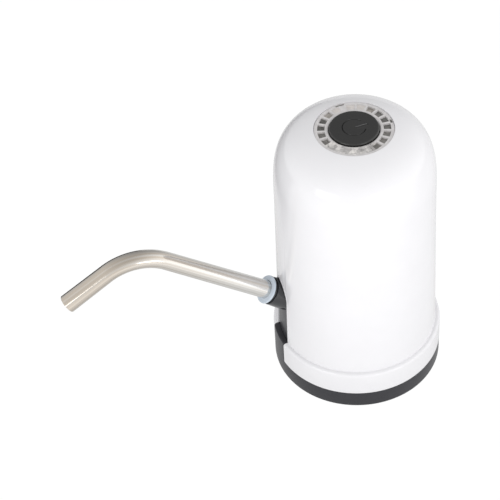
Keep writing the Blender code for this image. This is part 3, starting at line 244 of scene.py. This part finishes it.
def arched(name, half_width, low):
    """A block along Y through the slot, with a round top about the spout's axis."""
    front, rear, steps = -0.04, -0.015, 32
    shape = bmesh.new()
    corners = [Vector((-half_width, rear, low)), Vector((half_width, rear, low))]
    for i in range(steps + 1):
        turn = math.pi * i / steps
        x, z = half_width * math.cos(turn), axis_height + half_width * math.sin(turn)
        corners.append(Vector((x, rear, z)))
    face = shape.faces.new([shape.verts.new(corner) for corner in corners])
    grown = bmesh.ops.extrude_face_region(shape, geom=[face])
    moved = [v for v in grown["geom"] if isinstance(v, bmesh.types.BMVert)]
    bmesh.ops.translate(shape, vec=(0, front - rear, 0), verts=moved)
    return finish_mesh(name, shape)


def block(name, low, high):
    """A box between two corners."""
    shape = bmesh.new()
    bmesh.ops.create_cube(shape, size=1)
    low, high = Vector(low), Vector(high)
    bmesh.ops.scale(shape, vec=high - low, verts=shape.verts)
    bmesh.ops.translate(shape, vec=(low + high) / 2, verts=shape.verts)
    return finish_mesh(name, shape)


wall_top, wall_radius, dome_height, ring_seat = 0.0706, 0.03366, 0.0408, 0.0164


def dome(inset, steps=40):
    """Profile of the dome from the light ring's seat down to the straight wall."""
    radius, height, squareness, flatness = wall_radius - inset, dome_height - inset, 0.84, 0.418
    start = math.acos((ring_seat / radius) ** (1 / squareness))
    points = []
    for i in range(steps):
        t = start * (1 - i / steps)
        x = radius * math.cos(t) ** squareness
        points.append(Vector((x, wall_top + height * math.sin(t) ** flatness)))
    return points


def white_plastic(place):
    wave = place.noise(90)
    return {
        "Base Color": wave.mix((0.805, 0.80, 0.82), (0.845, 0.84, 0.86)),
        "Roughness": place.noise(240) * 0.05 + 0.14,
        "Normal": place.bump(place.noise(420), 0.08, 0.0002),
    }


white_abs = material(
    "glossy_white_abs", {"Coat Weight": 0.3, "Coat Roughness": 0.09}, white_plastic
)
spout_tilt = math.radians(37.84)
panel_point = Vector((0, -0.0333, axis_height))
along_spout = Matrix.Translation(panel_point) @ Matrix.Rotation(math.pi / 2 - spout_tilt, 4, "X")
skirt_radius, skirt_low, ledge, ledge_rounding = 0.0366, -0.01125, 0.0003, 0.0017
skirt = [(skirt_radius, skirt_low, 0), (skirt_radius, ledge, ledge_rounding), (0.0348, ledge, 0)]
shell_outside = [
    *path(skirt, 8)[:-1],
    *path([(0.0352, ledge, 0), (0.03455, ledge, 0.0003), (wall_radius, wall_top, 0)])[1:],
    *reversed(dome(0)),
]
shell_inside = [
    *dome(0.002),
    Vector((0.03166, wall_top)),
    Vector((0.03255, -0.0017)),
    Vector((0.0346, -0.0017)),
    Vector((0.0346, skirt_low)),
]
slot_low = -0.014
shell = finish_mesh("shell", spun(shell_outside + shell_inside, 192))
carved(shell, arched("slot", 0.0065, slot_low))


def spout_bore(name, radius):
    """A round cutter along the spout's axis, for where the socket stands out."""
    shape = bmesh.new()
    bmesh.ops.create_cone(
        shape, cap_ends=True, segments=96, radius1=radius, radius2=radius, depth=0.016
    )
    bmesh.ops.transform(shape, matrix=along_spout, verts=shape.verts)
    return finish_mesh(name, shape)


carved(shell, spout_bore("socket_hole", 0.00655))
window = softened(block("window", (-0.005, 0.015, 0.021), (0.005, 0.04, 0.027)), 0.001, 4)
carved(shell, window)
softened(shell, 0.0003)
show(shell, [white_abs], "housing", "white_abs", "outer_shell")


# Slot lip: the edge of the slot stands up as a thin lip, which is part of the shell's white
# moulding. It is an object of its own so that the shell's other edges can be softer.
lip_points = [(0.0336, -0.001), (0.03475, -0.001), (0.03428, 0.036), (0.0336, 0.036)]
lip = finish_mesh("slot_lip", spun(lip_points, 192))
lip_outline = arched("lip_outline", 0.0071, slot_low)
carved(lip_outline, spout_bore("lip_round", 0.00715), operation="UNION")
carved(lip, lip_outline, operation="INTERSECT")
carved(lip, arched("lip_slot", 0.00656, slot_low))
carved(lip, spout_bore("lip_bore", 0.00661))
softened(lip, 0.00008, 2)
show(lip, [white_abs], "housing", "white_abs")


# Base: a black ABS cup that slips over the bottle's neck. Its band shows below the skirt
# and a tongue of it stands in the shell's slot, with the shell's ledge carried across.
def black_plastic(place):
    grain = place.noise(2600, detail=2.0)
    return {
        "Base Color": place.noise(60).mix((0.024, 0.024, 0.029), (0.033, 0.033, 0.039)),
        "Roughness": grain * 0.16 + 0.26,
        "Normal": place.bump(grain, 0.25, 0.0001),
    }


black_abs = material("satin_black_abs", {"Specular IOR Level": 0.42}, black_plastic)
cup_wall = path(
    [
        (0.03225, 0.0022, 0),
        (0.03225, -0.018, 0),
        (0.0331, -0.018, 0),
        (0.0331, -0.00915, 0),
        (0.0343, -0.00915, 0),
        (0.0343, -0.01155, 0),
        (0.0365, -0.01155, 0.0003),
        (0.0365, -0.02, 0.0012),
        (0.02985, -0.02, 0.0003),
        (0.02985, 0, 0),
    ]
)
cup_profile = [Vector((0, 0.0022)), *cup_wall, Vector((0, 0))]
cup = finish_mesh("base", spun(cup_profile, 160, closed=False))
holes = bmesh.new()
hole_radii = {"suction_port": 0.0037}
hole_radii |= {"base_screw_1": 0.0022, "base_screw_2": 0.0022, "base_screw_3": 0.0022}
for fitting, radius in hole_radii.items():
    middle = sum(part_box(fitting), Vector()) / 2
    bmesh.ops.create_cone(
        holes,
        cap_ends=True,
        segments=48,
        radius1=radius,
        radius2=radius,
        depth=0.01,
        matrix=Matrix.Translation((middle.x, middle.y, 0)),
    )
carved(cup, finish_mesh("holes", holes))
tongue_front, tongue_back, tongue_low, tongue_half_width = skirt_radius, 0.031, -0.0125, 0.0063
tongue_points = path(
    [
        (tongue_front, tongue_low, 0),
        (tongue_front, ledge, 0.0005),
        (tongue_back, ledge, 0),
        (tongue_back, tongue_low, 0),
    ]
)
tongue = finish_mesh("tongue", spun(tongue_points, 160))
keep_low, keep_high = (-tongue_half_width, -0.0367, -0.03), (tongue_half_width, 0, 0.03)
keep = softened(block("keep", keep_low, keep_high), 0.0017, 5)
carved(tongue, keep, operation="INTERSECT")
softened(tongue, 0.0002)
show(tongue, [black_abs], "housing", "black_abs")
notch = block("notch", (-0.0067, -0.035, ledge), (0.0067, -0.0299, 0.01))
carved(cup, notch)
show(cup, [black_abs], "housing", "black_abs", "base_cup")


# Panel and socket: a black cover curved like the body fills the slot, and a short round
# socket stands out of it for the spout. Both are one moulding with the barb behind them.
band_points = [(0.0341, 0), (0.0341, 0.04), (0.0310, 0.04), (0.0310, 0)]
panel = finish_mesh("panel", spun(band_points, 160))
carved(panel, arched("outline", 0.0062, 0.0006), operation="INTERSECT")
softened(panel, 0.0003)
show(panel, [black_abs], "housing", "black_abs")


def on_spout(obj):
    """Sets a piece that was made about Z on the spout's axis."""
    obj.data.transform(along_spout)
    return obj


def gloss_black(place):
    return {
        "Base Color": place.noise(80).mix((0.013, 0.014, 0.016), (0.022, 0.023, 0.027)),
        "Roughness": place.noise(500) * 0.06 + 0.10,
        "Normal": place.bump(place.noise(900), 0.06, 0.0001),
    }


socket_black = material("polished_black_abs", {"Coat Weight": 0.4}, gloss_black)
socket_profile = path(
    [
        (0.00520, 0.0080, 0),
        (0.00535, 0.0080, 0.0001),
        (0.00535, 0.0071, 0),
        (0.00606, 0.0071, 0.0003),
        (0.00646, 0.0003, 0.0006),
        (0.00646, -0.0020, 0),
        (0.00605, -0.0020, 0),
        (0.00605, -0.0076, 0.0003),
        (0.0027, -0.0076, 0.0002),
        (0.0027, -0.0126, 0.0002),
        (0.0017, -0.0126, 0),
        (0.0017, -0.0060, 0),
        (0.00495, -0.0060, 0),
        (0.00495, 0.0077, 0),
    ]
)
socket = on_spout(finish_mesh("socket", spun(socket_profile, 96)))
show(socket, [socket_black], "housing", "black_abs", "spine_panel")


# Seal: a translucent silicone sleeve between the steel spout and its socket. Only its
# collar shows, pressed against the socket's mouth.
def pale_rubber(place):
    cloud = place.noise(300)
    return {
        "Base Color": cloud.mix((0.52, 0.59, 0.68), (0.61, 0.68, 0.75)),
        "Roughness": cloud * 0.12 + 0.26,
        "Normal": place.bump(place.noise(1500), 0.10, 0.0001),
    }


silicone = material("pale_silicone", {"Coat Weight": 0.2}, pale_rubber)
seal_profile = path(
    [
        (0.00404, 0.0095, 0),
        (0.0062, 0.0095, 0.0006),
        (0.0062, 0.0086, 0.0003),
        (0.00484, 0.0086, 0),
        (0.00484, -0.0057, 0.0002),
        (0.0030, -0.0057, 0.0002),
        (0.0030, -0.0047, 0.0002),
        (0.0041, -0.0047, 0),
        (0.00404, 0.0090, 0),
    ]
)
seal = on_spout(finish_mesh("seal", spun(seal_profile, 96)))
show(seal, [silicone], "seal", "pale_silicone", "spout_seal")


# Spout: a bent tube of polished stainless steel, 8 mm across, cut square at its end and
# pushed into the seal.
def polished_steel(place):
    """Fine marks along the tube, whose light and dark streaks in the colour are partly painted
    reflection, and a darker, warmer painted reflection from the bend on.
    """
    lines_and_painted_streaks = place.node("ShaderNodeAttribute", out=1, attribute_name="around").noise(4, detail=6.0)
    out = place.node("ShaderNodeSeparateXYZ", {0: place}, out=1)
    warm_painted_reflection = (out * -18 - 1.1 + place.noise(30) * 0.4).maths("MAXIMUM").maths("MINIMUM", 1.0)
    return {
        # The colour's light and dark streaks along the tube and its darker, warmer end are painted
        # reflection.
        "Base Color": (lines_and_painted_streaks * 3 - 0.7 - warm_painted_reflection * 0.7).mix((0.55, 0.49, 0.42), (0.79, 0.785, 0.765)),
        "Roughness": lines_and_painted_streaks * 0.16 + 0.04,
        "Normal": place.bump(lines_and_painted_streaks, 0.5, 0.0001),
    }


steel = material("polished_stainless", {"Metallic": 1.0}, polished_steel)
tube = bmesh.new()
tube_radius, pushed_in = 0.004, 0.0044
bmesh.ops.create_circle(tube, cap_ends=False, segments=64, radius=tube_radius)
around = tube.verts.layers.float_vector.new("around")
for vert in tube.verts:
    vert[around] = vert.co / tube_radius
bmesh.ops.translate(tube, vec=(0, 0, -pushed_in), verts=tube.verts)


def run(length, direction):
    """Draws the open end of the tube along a straight line."""
    ends = [e for e in tube.edges if e.is_boundary or e.is_wire]
    ends = [e for e in ends if e.verts[0] in rim and e.verts[1] in rim]
    grown = bmesh.ops.extrude_edge_only(tube, edges=ends)["geom"]
    moved = [v for v in grown if isinstance(v, bmesh.types.BMVert)]
    bmesh.ops.translate(tube, vec=length * direction, verts=moved)
    rim[:] = moved


rim = list(tube.verts)
rise, fall, bend, bend_radius = 0.0621, 0.0209, math.radians(37.84 + 33.57), 0.02207
run(rise + pushed_in, Vector((0, 0, 1)))
mouth = [e for e in tube.edges if e.verts[0] in rim and e.verts[1] in rim]
bent = bmesh.ops.spin(
    tube,
    geom=rim + mouth,
    cent=(0, -bend_radius, rise),
    axis=(1, 0, 0),
    angle=bend,
    steps=36,
)["geom_last"]
rim[:] = [v for v in bent if isinstance(v, bmesh.types.BMVert)]
run(fall, Vector((0, -math.sin(bend), math.cos(bend))))

# The outside of a bent tube flattens a little, most in the middle of the bend.
centre, flat_from, flat_to, flattening = Vector((0, -bend_radius, rise)), -0.3, 1.35, 0.16
for vert in tube.verts:
    arm = vert.co - centre
    turn = math.atan2(arm.z, arm.y) / bend
    if arm.yz.length > bend_radius and flat_from < turn < flat_to:
        share = min(1, 3 * (turn - flat_from), 3 * (flat_to - turn))
        arm.x = 0
        vert.co -= flattening * share * (arm.length - bend_radius) * arm.normalized()
spout = on_spout(finish_mesh("spout", tube))
wall = spout.modifiers.new("wall", "SOLIDIFY")
wall.thickness = 0.0005
wall.offset = -1
softened(spout, 0.00012, 2)
show(spout, [steel], "spout", "stainless_steel", "spout_tube")


# Light ring: a clear moulding round the button. Nineteen pockets with ribs between them
# spread the light of the four LEDs below, and three legs hold the button's board.
def clear_plastic(place):
    crystal = place.node("ShaderNodeTexVoronoi", {"Vector": place, "Scale": 620.0})
    cloud = place.noise(420)
    return {
        "Base Color": (crystal * 0.5 + cloud * 0.4).mix((0.78, 0.76, 0.76), (0.52, 0.50, 0.50)),
        "Roughness": cloud * 0.15 + 0.05,
        "Normal": place.bump(crystal, 0.25, 0.0004),
    }


def painted_see_through_shade(dark, pale, grain=900.0):
    """Painted shade of what the clear moulding shows below its top, as cells of one shade each."""

    def build(place):
        cell = place.node("ShaderNodeTexVoronoi", {"Vector": place, "Scale": grain}, out=1)
        return {
            "Base Color": (cell * 0.7 + place.noise(300) * 0.9 - 0.3).mix(dark, pale),
            "Roughness": place.noise(700) * 0.2 + 0.08,
            "Normal": place.bump(cell, 0.4, 0.0004),
        }

    return build


coat = {"Coat Weight": 0.6, "Coat Roughness": 0.05}
clear = material("clear_polycarbonate", coat, clear_plastic)
# The pocket materials are darker and paler copies, painted shade; the faceted front's pale cells
# are painted glints.
ring_looks = [
    clear,
    material("pocket_dark", coat, painted_see_through_shade((0.05, 0.047, 0.044), (0.17, 0.165, 0.155))),
    material("pocket_grey", coat, painted_see_through_shade((0.10, 0.096, 0.088), (0.28, 0.265, 0.25))),
    material("pocket_pale", coat, painted_see_through_shade((0.52, 0.48, 0.46), (0.78, 0.74, 0.71), 420.0)),
    material("facets_painted_glints", coat, painted_see_through_shade((0.26, 0.25, 0.25), (0.95, 0.92, 0.89), 640.0)),
    material("pocket_mid", coat, painted_see_through_shade((0.24, 0.22, 0.20), (0.52, 0.48, 0.44), 700.0)),
]
ring_top = 0.1094
leg_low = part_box("light_ring")[0].z
lip_top = leg_low + 0.0072
ring_profile = path(
    [
        (0.0109, ring_top, 0),
        (0.0117, ring_top, 0),
        (0.0119, ring_top, 0),
        (0.0149, ring_top, 0),
        (0.0151, ring_top, 0),
        (0.01632, ring_top, 0.0003),
        (0.01632, lip_top, 0),
        (0.0182, lip_top, 0),
        (0.0182, lip_top - 0.0016, 0),
        (0.0119, lip_top - 0.0016, 0),
        (0.0119, lip_top - 0.0008, 0),
        (0.01055, lip_top - 0.0008, 0),
        (0.01055, ring_top - 0.0002, 0),
    ]
)
ring = spun(ring_profile, 180)


def top_faces(shape, inner, outer, first, last):
    """Faces on the ring's top between two radii and two turns in degrees."""
    found = []
    for face in shape.faces:
        middle = face.calc_center_median()
        turn = math.degrees(math.atan2(middle.y, middle.x)) % 360
        on_top = abs(middle.z - ring_top) < 1e-5 and inner < middle.xy.length < outer
        if on_top and first < turn < last:
            found.append(face)
    return found


# The pockets stand in two runs half a pitch apart, with a wider rib at either end.
# Their shades are painted shade and painted glints, fixed to each pocket after how it looks from
# the photograph's side.
dark, grey, pale, facet, mid = range(1, 6)
# The front of the ring's top takes the painted glints of the faceted look.
for first, last in ((0, 26), (290, 360)):
    for face in top_faces(ring, 0.0110, 0.0150, first, last):
        face.material_index = facet
painted_shade_by_turn = {4.5: facet, 22.5: grey, 40.5: grey, 58.5: grey, 76.5: dark, 94.5: dark}
painted_shade_by_turn |= {112.5: grey, 130.5: mid, 148.5: pale, 166.5: pale, 193.5: pale, 211.5: mid}
painted_shade_by_turn |= {229.5: dark, 247.5: dark, 265.5: grey, 283.5: grey, 301.5: facet}
painted_shade_by_turn |= {328.5: facet, 346.5: facet}
sunk = [(0.0119, 0.0149, turn, 7.2, look) for turn, look in painted_shade_by_turn.items()]
notch_inner, notch_outer, shallow, deep = 0.0151, 0.0162, 0.0003, 0.0008
sunk += [(notch_inner, notch_outer, 183, 7.0, grey), (notch_inner, notch_outer, 88.5, 4.0, dark)]
for inner, outer, turn, half_width, look in sunk:
    faces = top_faces(ring, inner, outer, turn - half_width, turn + half_width)
    depth = shallow if look in (pale, facet) or inner == notch_inner else deep
    bmesh.ops.inset_region(
        ring, faces=faces, thickness=0.00006, depth=-depth, use_even_offset=True
    )
    for face in faces:
        face.material_index = look
leg_radius, leg_length, legs_at = 0.0018, 0.006, 0.01506
for i in range(3):
    turn = math.pi / 2 + 2 * math.pi * i / 3
    bmesh.ops.create_cone(
        ring,
        cap_ends=True,
        segments=24,
        radius1=leg_radius,
        radius2=leg_radius,
        depth=leg_length,
        matrix=Matrix.Translation(
            (legs_at * math.cos(turn), legs_at * math.sin(turn), leg_low + leg_length / 2)
        ),
    )
ring = finish_mesh("ring", ring, sharp=25)
show(ring, ring_looks, "housing", "clear_polycarbonate", "light_ring")


# Power button: a satin black cap with an engraved power symbol. It sinks half a
# millimetre on to the switch under it.
def button_plastic(place):
    grain = place.noise(3200, detail=2.0)
    return {
        "Base Color": place.noise(120).mix((0.012, 0.012, 0.012), (0.017, 0.017, 0.016)),
        "Roughness": grain * 0.08 + 0.20,
        "Normal": place.bump(grain, 0.08, 0.0001),
    }


button_black = material(
    "satin_button",
    {"Specular IOR Level": 0.4, "Coat Weight": 0.4, "Coat Roughness": 0.08},
    button_plastic,
)
button_low, button_high = (corner.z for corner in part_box("power_button"))
cap = path(
    [
        (0.0092, button_high, 0),
        (0.01025, button_high, 0.0008),
        (0.01025, button_high - 0.0046, 0),
        (0.01132, button_high - 0.0046, 0),
        (0.01132, button_high - 0.0056, 0),
        (0.00922, button_high - 0.0056, 0),
        (0.00922, button_high - 0.002, 0),
        (0.003, button_high - 0.002, 0),
        (0.003, button_low, 0),
    ]
)
button_profile = [Vector((0, button_high)), *cap, Vector((0, button_low))]
button = finish_mesh("button", spun(button_profile, 128, closed=False))

# The symbol's ring and bar are V-shaped grooves. The bar's wall towards -X is the steeper one.
groove = bmesh.new()
groove_section = [(0.0045, 0.0002), (0.0051, 0.0002), (0.0048, -0.00032)]
corners = [groove.verts.new((x, 0, button_high + z)) for x, z in groove_section]
loop = [groove.edges.new(pair) for pair in zip(corners, corners[1:] + corners[:1])]
gap = math.radians(70)
bmesh.ops.rotate(
    groove, matrix=Matrix.Rotation(math.radians(92.5) + gap / 2, 3, "Z"), verts=corners
)
groove.faces.new(corners)
swept = bmesh.ops.spin(
    groove,
    geom=corners + loop,
    cent=(0, 0, 0),
    axis=(0, 0, 1),
    angle=2 * math.pi - gap,
    steps=80,
)["geom_last"]
groove.faces.new([v for v in swept if isinstance(v, bmesh.types.BMVert)])
carved(button, finish_mesh("groove", groove), sharp=25)
bar = bmesh.new()
bar_section = [(-0.00035, 0.0003), (0.0015, 0.0002), (0, -0.0003)]
bar_start, bar_length = 0.0006, 0.0053
bar_end = bar.faces.new([bar.verts.new((x, bar_start, button_high + z)) for x, z in bar_section])
stretched = bmesh.ops.extrude_face_region(bar, geom=[bar_end])["geom"]
far_end = [v for v in stretched if isinstance(v, bmesh.types.BMVert)]
bmesh.ops.translate(bar, vec=(0, bar_length, 0), verts=far_end)
bmesh.ops.rotate(bar, matrix=Matrix.Rotation(math.radians(2.5), 3, "Z"), verts=bar.verts)
carved(button, finish_mesh("bar", bar), sharp=25)
show(button, [button_black], "button", "button_black", "power_button")


# Neck gasket: a moulded lining of dark rubber that sits inside the base. Its five ridges
# grip the bottle's neck.
def dull_rubber(place):
    grain = place.noise(1800)
    return {
        "Base Color": place.noise(70).mix((0.07, 0.07, 0.075), (0.12, 0.12, 0.125)),
        "Roughness": grain * 0.2 + 0.58,
        "Normal": place.bump(grain, 0.3, 0.0001),
    }


rubber = material("dark_rubber", {}, dull_rubber)
lining, crest, root, pitch = 0.02955, 0.02775, 0.02815, 0.0032
lining_low, lining_high = -0.0192, -0.0003
ridges = [(lining, lining_high, 0), (lining, lining_low, 0.0003), (crest, lining_low, 0.0003)]
for i in range(5):
    height = -0.0176 + pitch * i
    ridges += [(crest, height, 0.0003), (root, height + 0.0008, 0)]
    ridges += [(root, height + 0.0024, 0), (crest, height + pitch, 0.0003)]
ridges.append((crest, lining_high, 0))
gasket = finish_mesh("gasket", spun(path(ridges, 3), 128))
show(gasket, [rubber], "housing", "grey_rubber", "neck_gasket")


# Inner pieces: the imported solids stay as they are, each with the finish of its real
# stuff, seen when the pump is taken apart.
def speckled(first, second, rough, scale=300.0):
    """A build function for a plain finish with some variation."""

    def build(place):
        cloud = place.noise(scale)
        return {
            "Base Color": cloud.mix(first, second),
            "Roughness": cloud * 0.12 + rough,
            "Normal": place.bump(place.noise(scale * 5), 0.15, 0.0001),
        }

    return build


inner = {
    "white_abs": white_abs,
    "black_abs": black_abs,
    "pale_silicone": silicone,
    "grey_rubber": rubber,
    "stainless_steel": steel,
    "zinc_steel": material(
        "zinc_plate", {"Metallic": 1.0}, speckled((0.52, 0.53, 0.56), (0.68, 0.68, 0.66), 0.24, 500)
    ),
    "ferrite": material("ferrite", {}, speckled((0.06, 0.06, 0.06), (0.10, 0.10, 0.10), 0.6, 900)),
    "copper": material(
        "copper", {"Metallic": 1.0}, speckled((0.72, 0.34, 0.18), (0.86, 0.48, 0.28), 0.25, 900)
    ),
    "brass": material(
        "brass", {"Metallic": 1.0}, speckled((0.70, 0.55, 0.25), (0.82, 0.68, 0.36), 0.24, 600)
    ),
    "natural_nylon": material("nylon", {}, speckled((0.74, 0.72, 0.62), (0.82, 0.80, 0.72), 0.4)),
    "board_green": material("board", {}, speckled((0.02, 0.20, 0.08), (0.04, 0.28, 0.12), 0.35)),
    "chip_black": material("chip", {}, speckled((0.02, 0.02, 0.02), (0.05, 0.05, 0.05), 0.5, 900)),
    "cell_wrap": material("wrap", {}, speckled((0.04, 0.17, 0.42), (0.07, 0.24, 0.54), 0.25, 60)),
    "wire_red": material("red_wire", {}, speckled((0.50, 0.02, 0.02), (0.66, 0.05, 0.04), 0.4)),
    "wire_black": material("black_wire", {}, speckled((0.02, 0.02, 0.02), (0.05, 0.05, 0.05), 0.4)),
    "led_white": material("led", {}, speckled((0.82, 0.82, 0.70), (0.92, 0.92, 0.84), 0.3)),
    "clear_polycarbonate": clear,
    "button_black": button_black,
}
for entry in frame["record"]["subparts"]:
    node = nodes[entry["node"]]
    node.data.materials.clear()
    node.data.materials.append(inner[entry["material_slot"]])


# Charging socket: a drawn steel shell on the main board, behind the window. Its solid is
# kept, and only the material tells the steel from the opening, painted near black as shade.
def charging_socket(place):
    edge = 0.0005
    low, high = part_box("usb_port")
    middle, half = (low + high) / 2, (high - low) / 2
    place_x = place.node("ShaderNodeSeparateXYZ", {0: place}, out=0)
    place_z = place.node("ShaderNodeSeparateXYZ", {0: place}, out=2)
    # Painted shade: the inner part of the face is near black, for the port's opening.
    painted_throat_shade = 1 - ((place_x - middle.x).maths("ABSOLUTE") > half.x - edge)
    painted_throat_shade = painted_throat_shade * (1 - ((place_z - middle.z).maths("ABSOLUTE") > half.z - edge))
    return {
        "Base Color": painted_throat_shade.mix((0.60, 0.60, 0.61), (0.02, 0.02, 0.02)),
        "Metallic": 1 - painted_throat_shade,
        "Roughness": place.noise(900) * 0.1 + 0.2,
    }


nodes["usb_port"].data.materials[0] = material("charging_socket", {}, charging_socket)


# Studio: a white ground that the camera sees, and just over it a card that it doesn't see,
# which lights the pump from below. The pale room is brightest at the picture's right and
# left, and two soft boxes stand in it.
def ground(name, height, build):
    """A wide sheet of the studio's floor, which isn't part of the pump."""
    shape = bmesh.new()
    bmesh.ops.create_grid(shape, x_segments=1, y_segments=1, size=3)
    bmesh.ops.translate(shape, vec=(0, 0, height), verts=shape.verts)
    made = finish_mesh(name, shape)
    made.data.materials.append(
        material(name, {"Specular IOR Level": 0.0, "Emission Strength": 1.0}, build)
    )
    return made


def white_ground(place):
    cloud = place.noise(2)
    return {
        "Base Color": cloud.mix((0, 0, 0), (0.01, 0.01, 0.01)),
        "Emission Color": cloud.mix((1.02, 1.02, 1.02), (1.01, 1.01, 1.01)),
    }


near = Vector((back.x, back.y, 0)).normalized()


def along(place, direction):
    """How far a position or a view lies in one direction."""
    inputs = {0: place, 1: direction}
    return place.node("ShaderNodeVectorMath", inputs, out=1, operation="DOT_PRODUCT")


def clamped(value):
    return value.maths("MAXIMUM").maths("MINIMUM", 1.0)


def white_card(place):
    """Brighter towards the camera, and black beyond the spout's tip."""
    nearer, beside = along(place, near), along(place, across)
    black = clamped(nearer * -25)
    black = black * clamped(beside * -25 - 2.2)
    lit = (1 - black) * (clamped(nearer * 8 - 0.36) * 0.52 + 0.49)
    return {
        "Base Color": black.mix((0.30, 0.30, 0.30), (0.04, 0.04, 0.04)),
        "Emission Color": lit.mix((0.02, 0.02, 0.02), (0.98, 0.98, 0.98)),
    }


ground("floor", -0.0203, white_ground)
table = ground("table", -0.0201, white_card)
table.visible_camera = False
world = bpy.data.worlds.new("room")
world.use_nodes = True
sky = world.node_tree.nodes["Background"]
view = world.node_tree.nodes.new("ShaderNodeTexCoord")
outward = Flow(world.node_tree, view.outputs["Generated"])


def shine(direction, strength):
    """Light from one side of the room, fading out towards the others."""
    facing = along(outward, direction).maths("MAXIMUM")
    return facing * facing * strength


brightness = shine((0, 0, 1), 0.51) + shine(near, 0.82) + shine(across, 1.44) + 0.20
brightness += shine(-across, 0.96) + shine(-near, 0.15)
world.node_tree.links.new(brightness.socket, sky.inputs["Strength"])
sky.inputs["Color"].default_value = (1, 1, 1, 1)
bpy.context.scene.world = world


middle_of_pump, box_width, box_height = Vector((0, 0, 0.06)), 0.5, 0.28
for name, turn, power in (("box_left", 33, 1.1), ("box_right", 108, 0.8)):
    offset = Vector((math.sin(math.radians(turn)), -math.cos(math.radians(turn)), 0.21))
    data = bpy.data.lights.new(name, "AREA")
    data.shape = "RECTANGLE"
    data.size, data.size_y = box_width, box_height
    data.energy = power
    light = bpy.data.objects.new(name, data)
    light.location = middle_of_pump + offset
    aimed = (middle_of_pump - light.location).to_track_quat("-Z", "Y")
    light.rotation_euler = aimed.to_euler()
    bpy.context.scene.collection.objects.link(light)
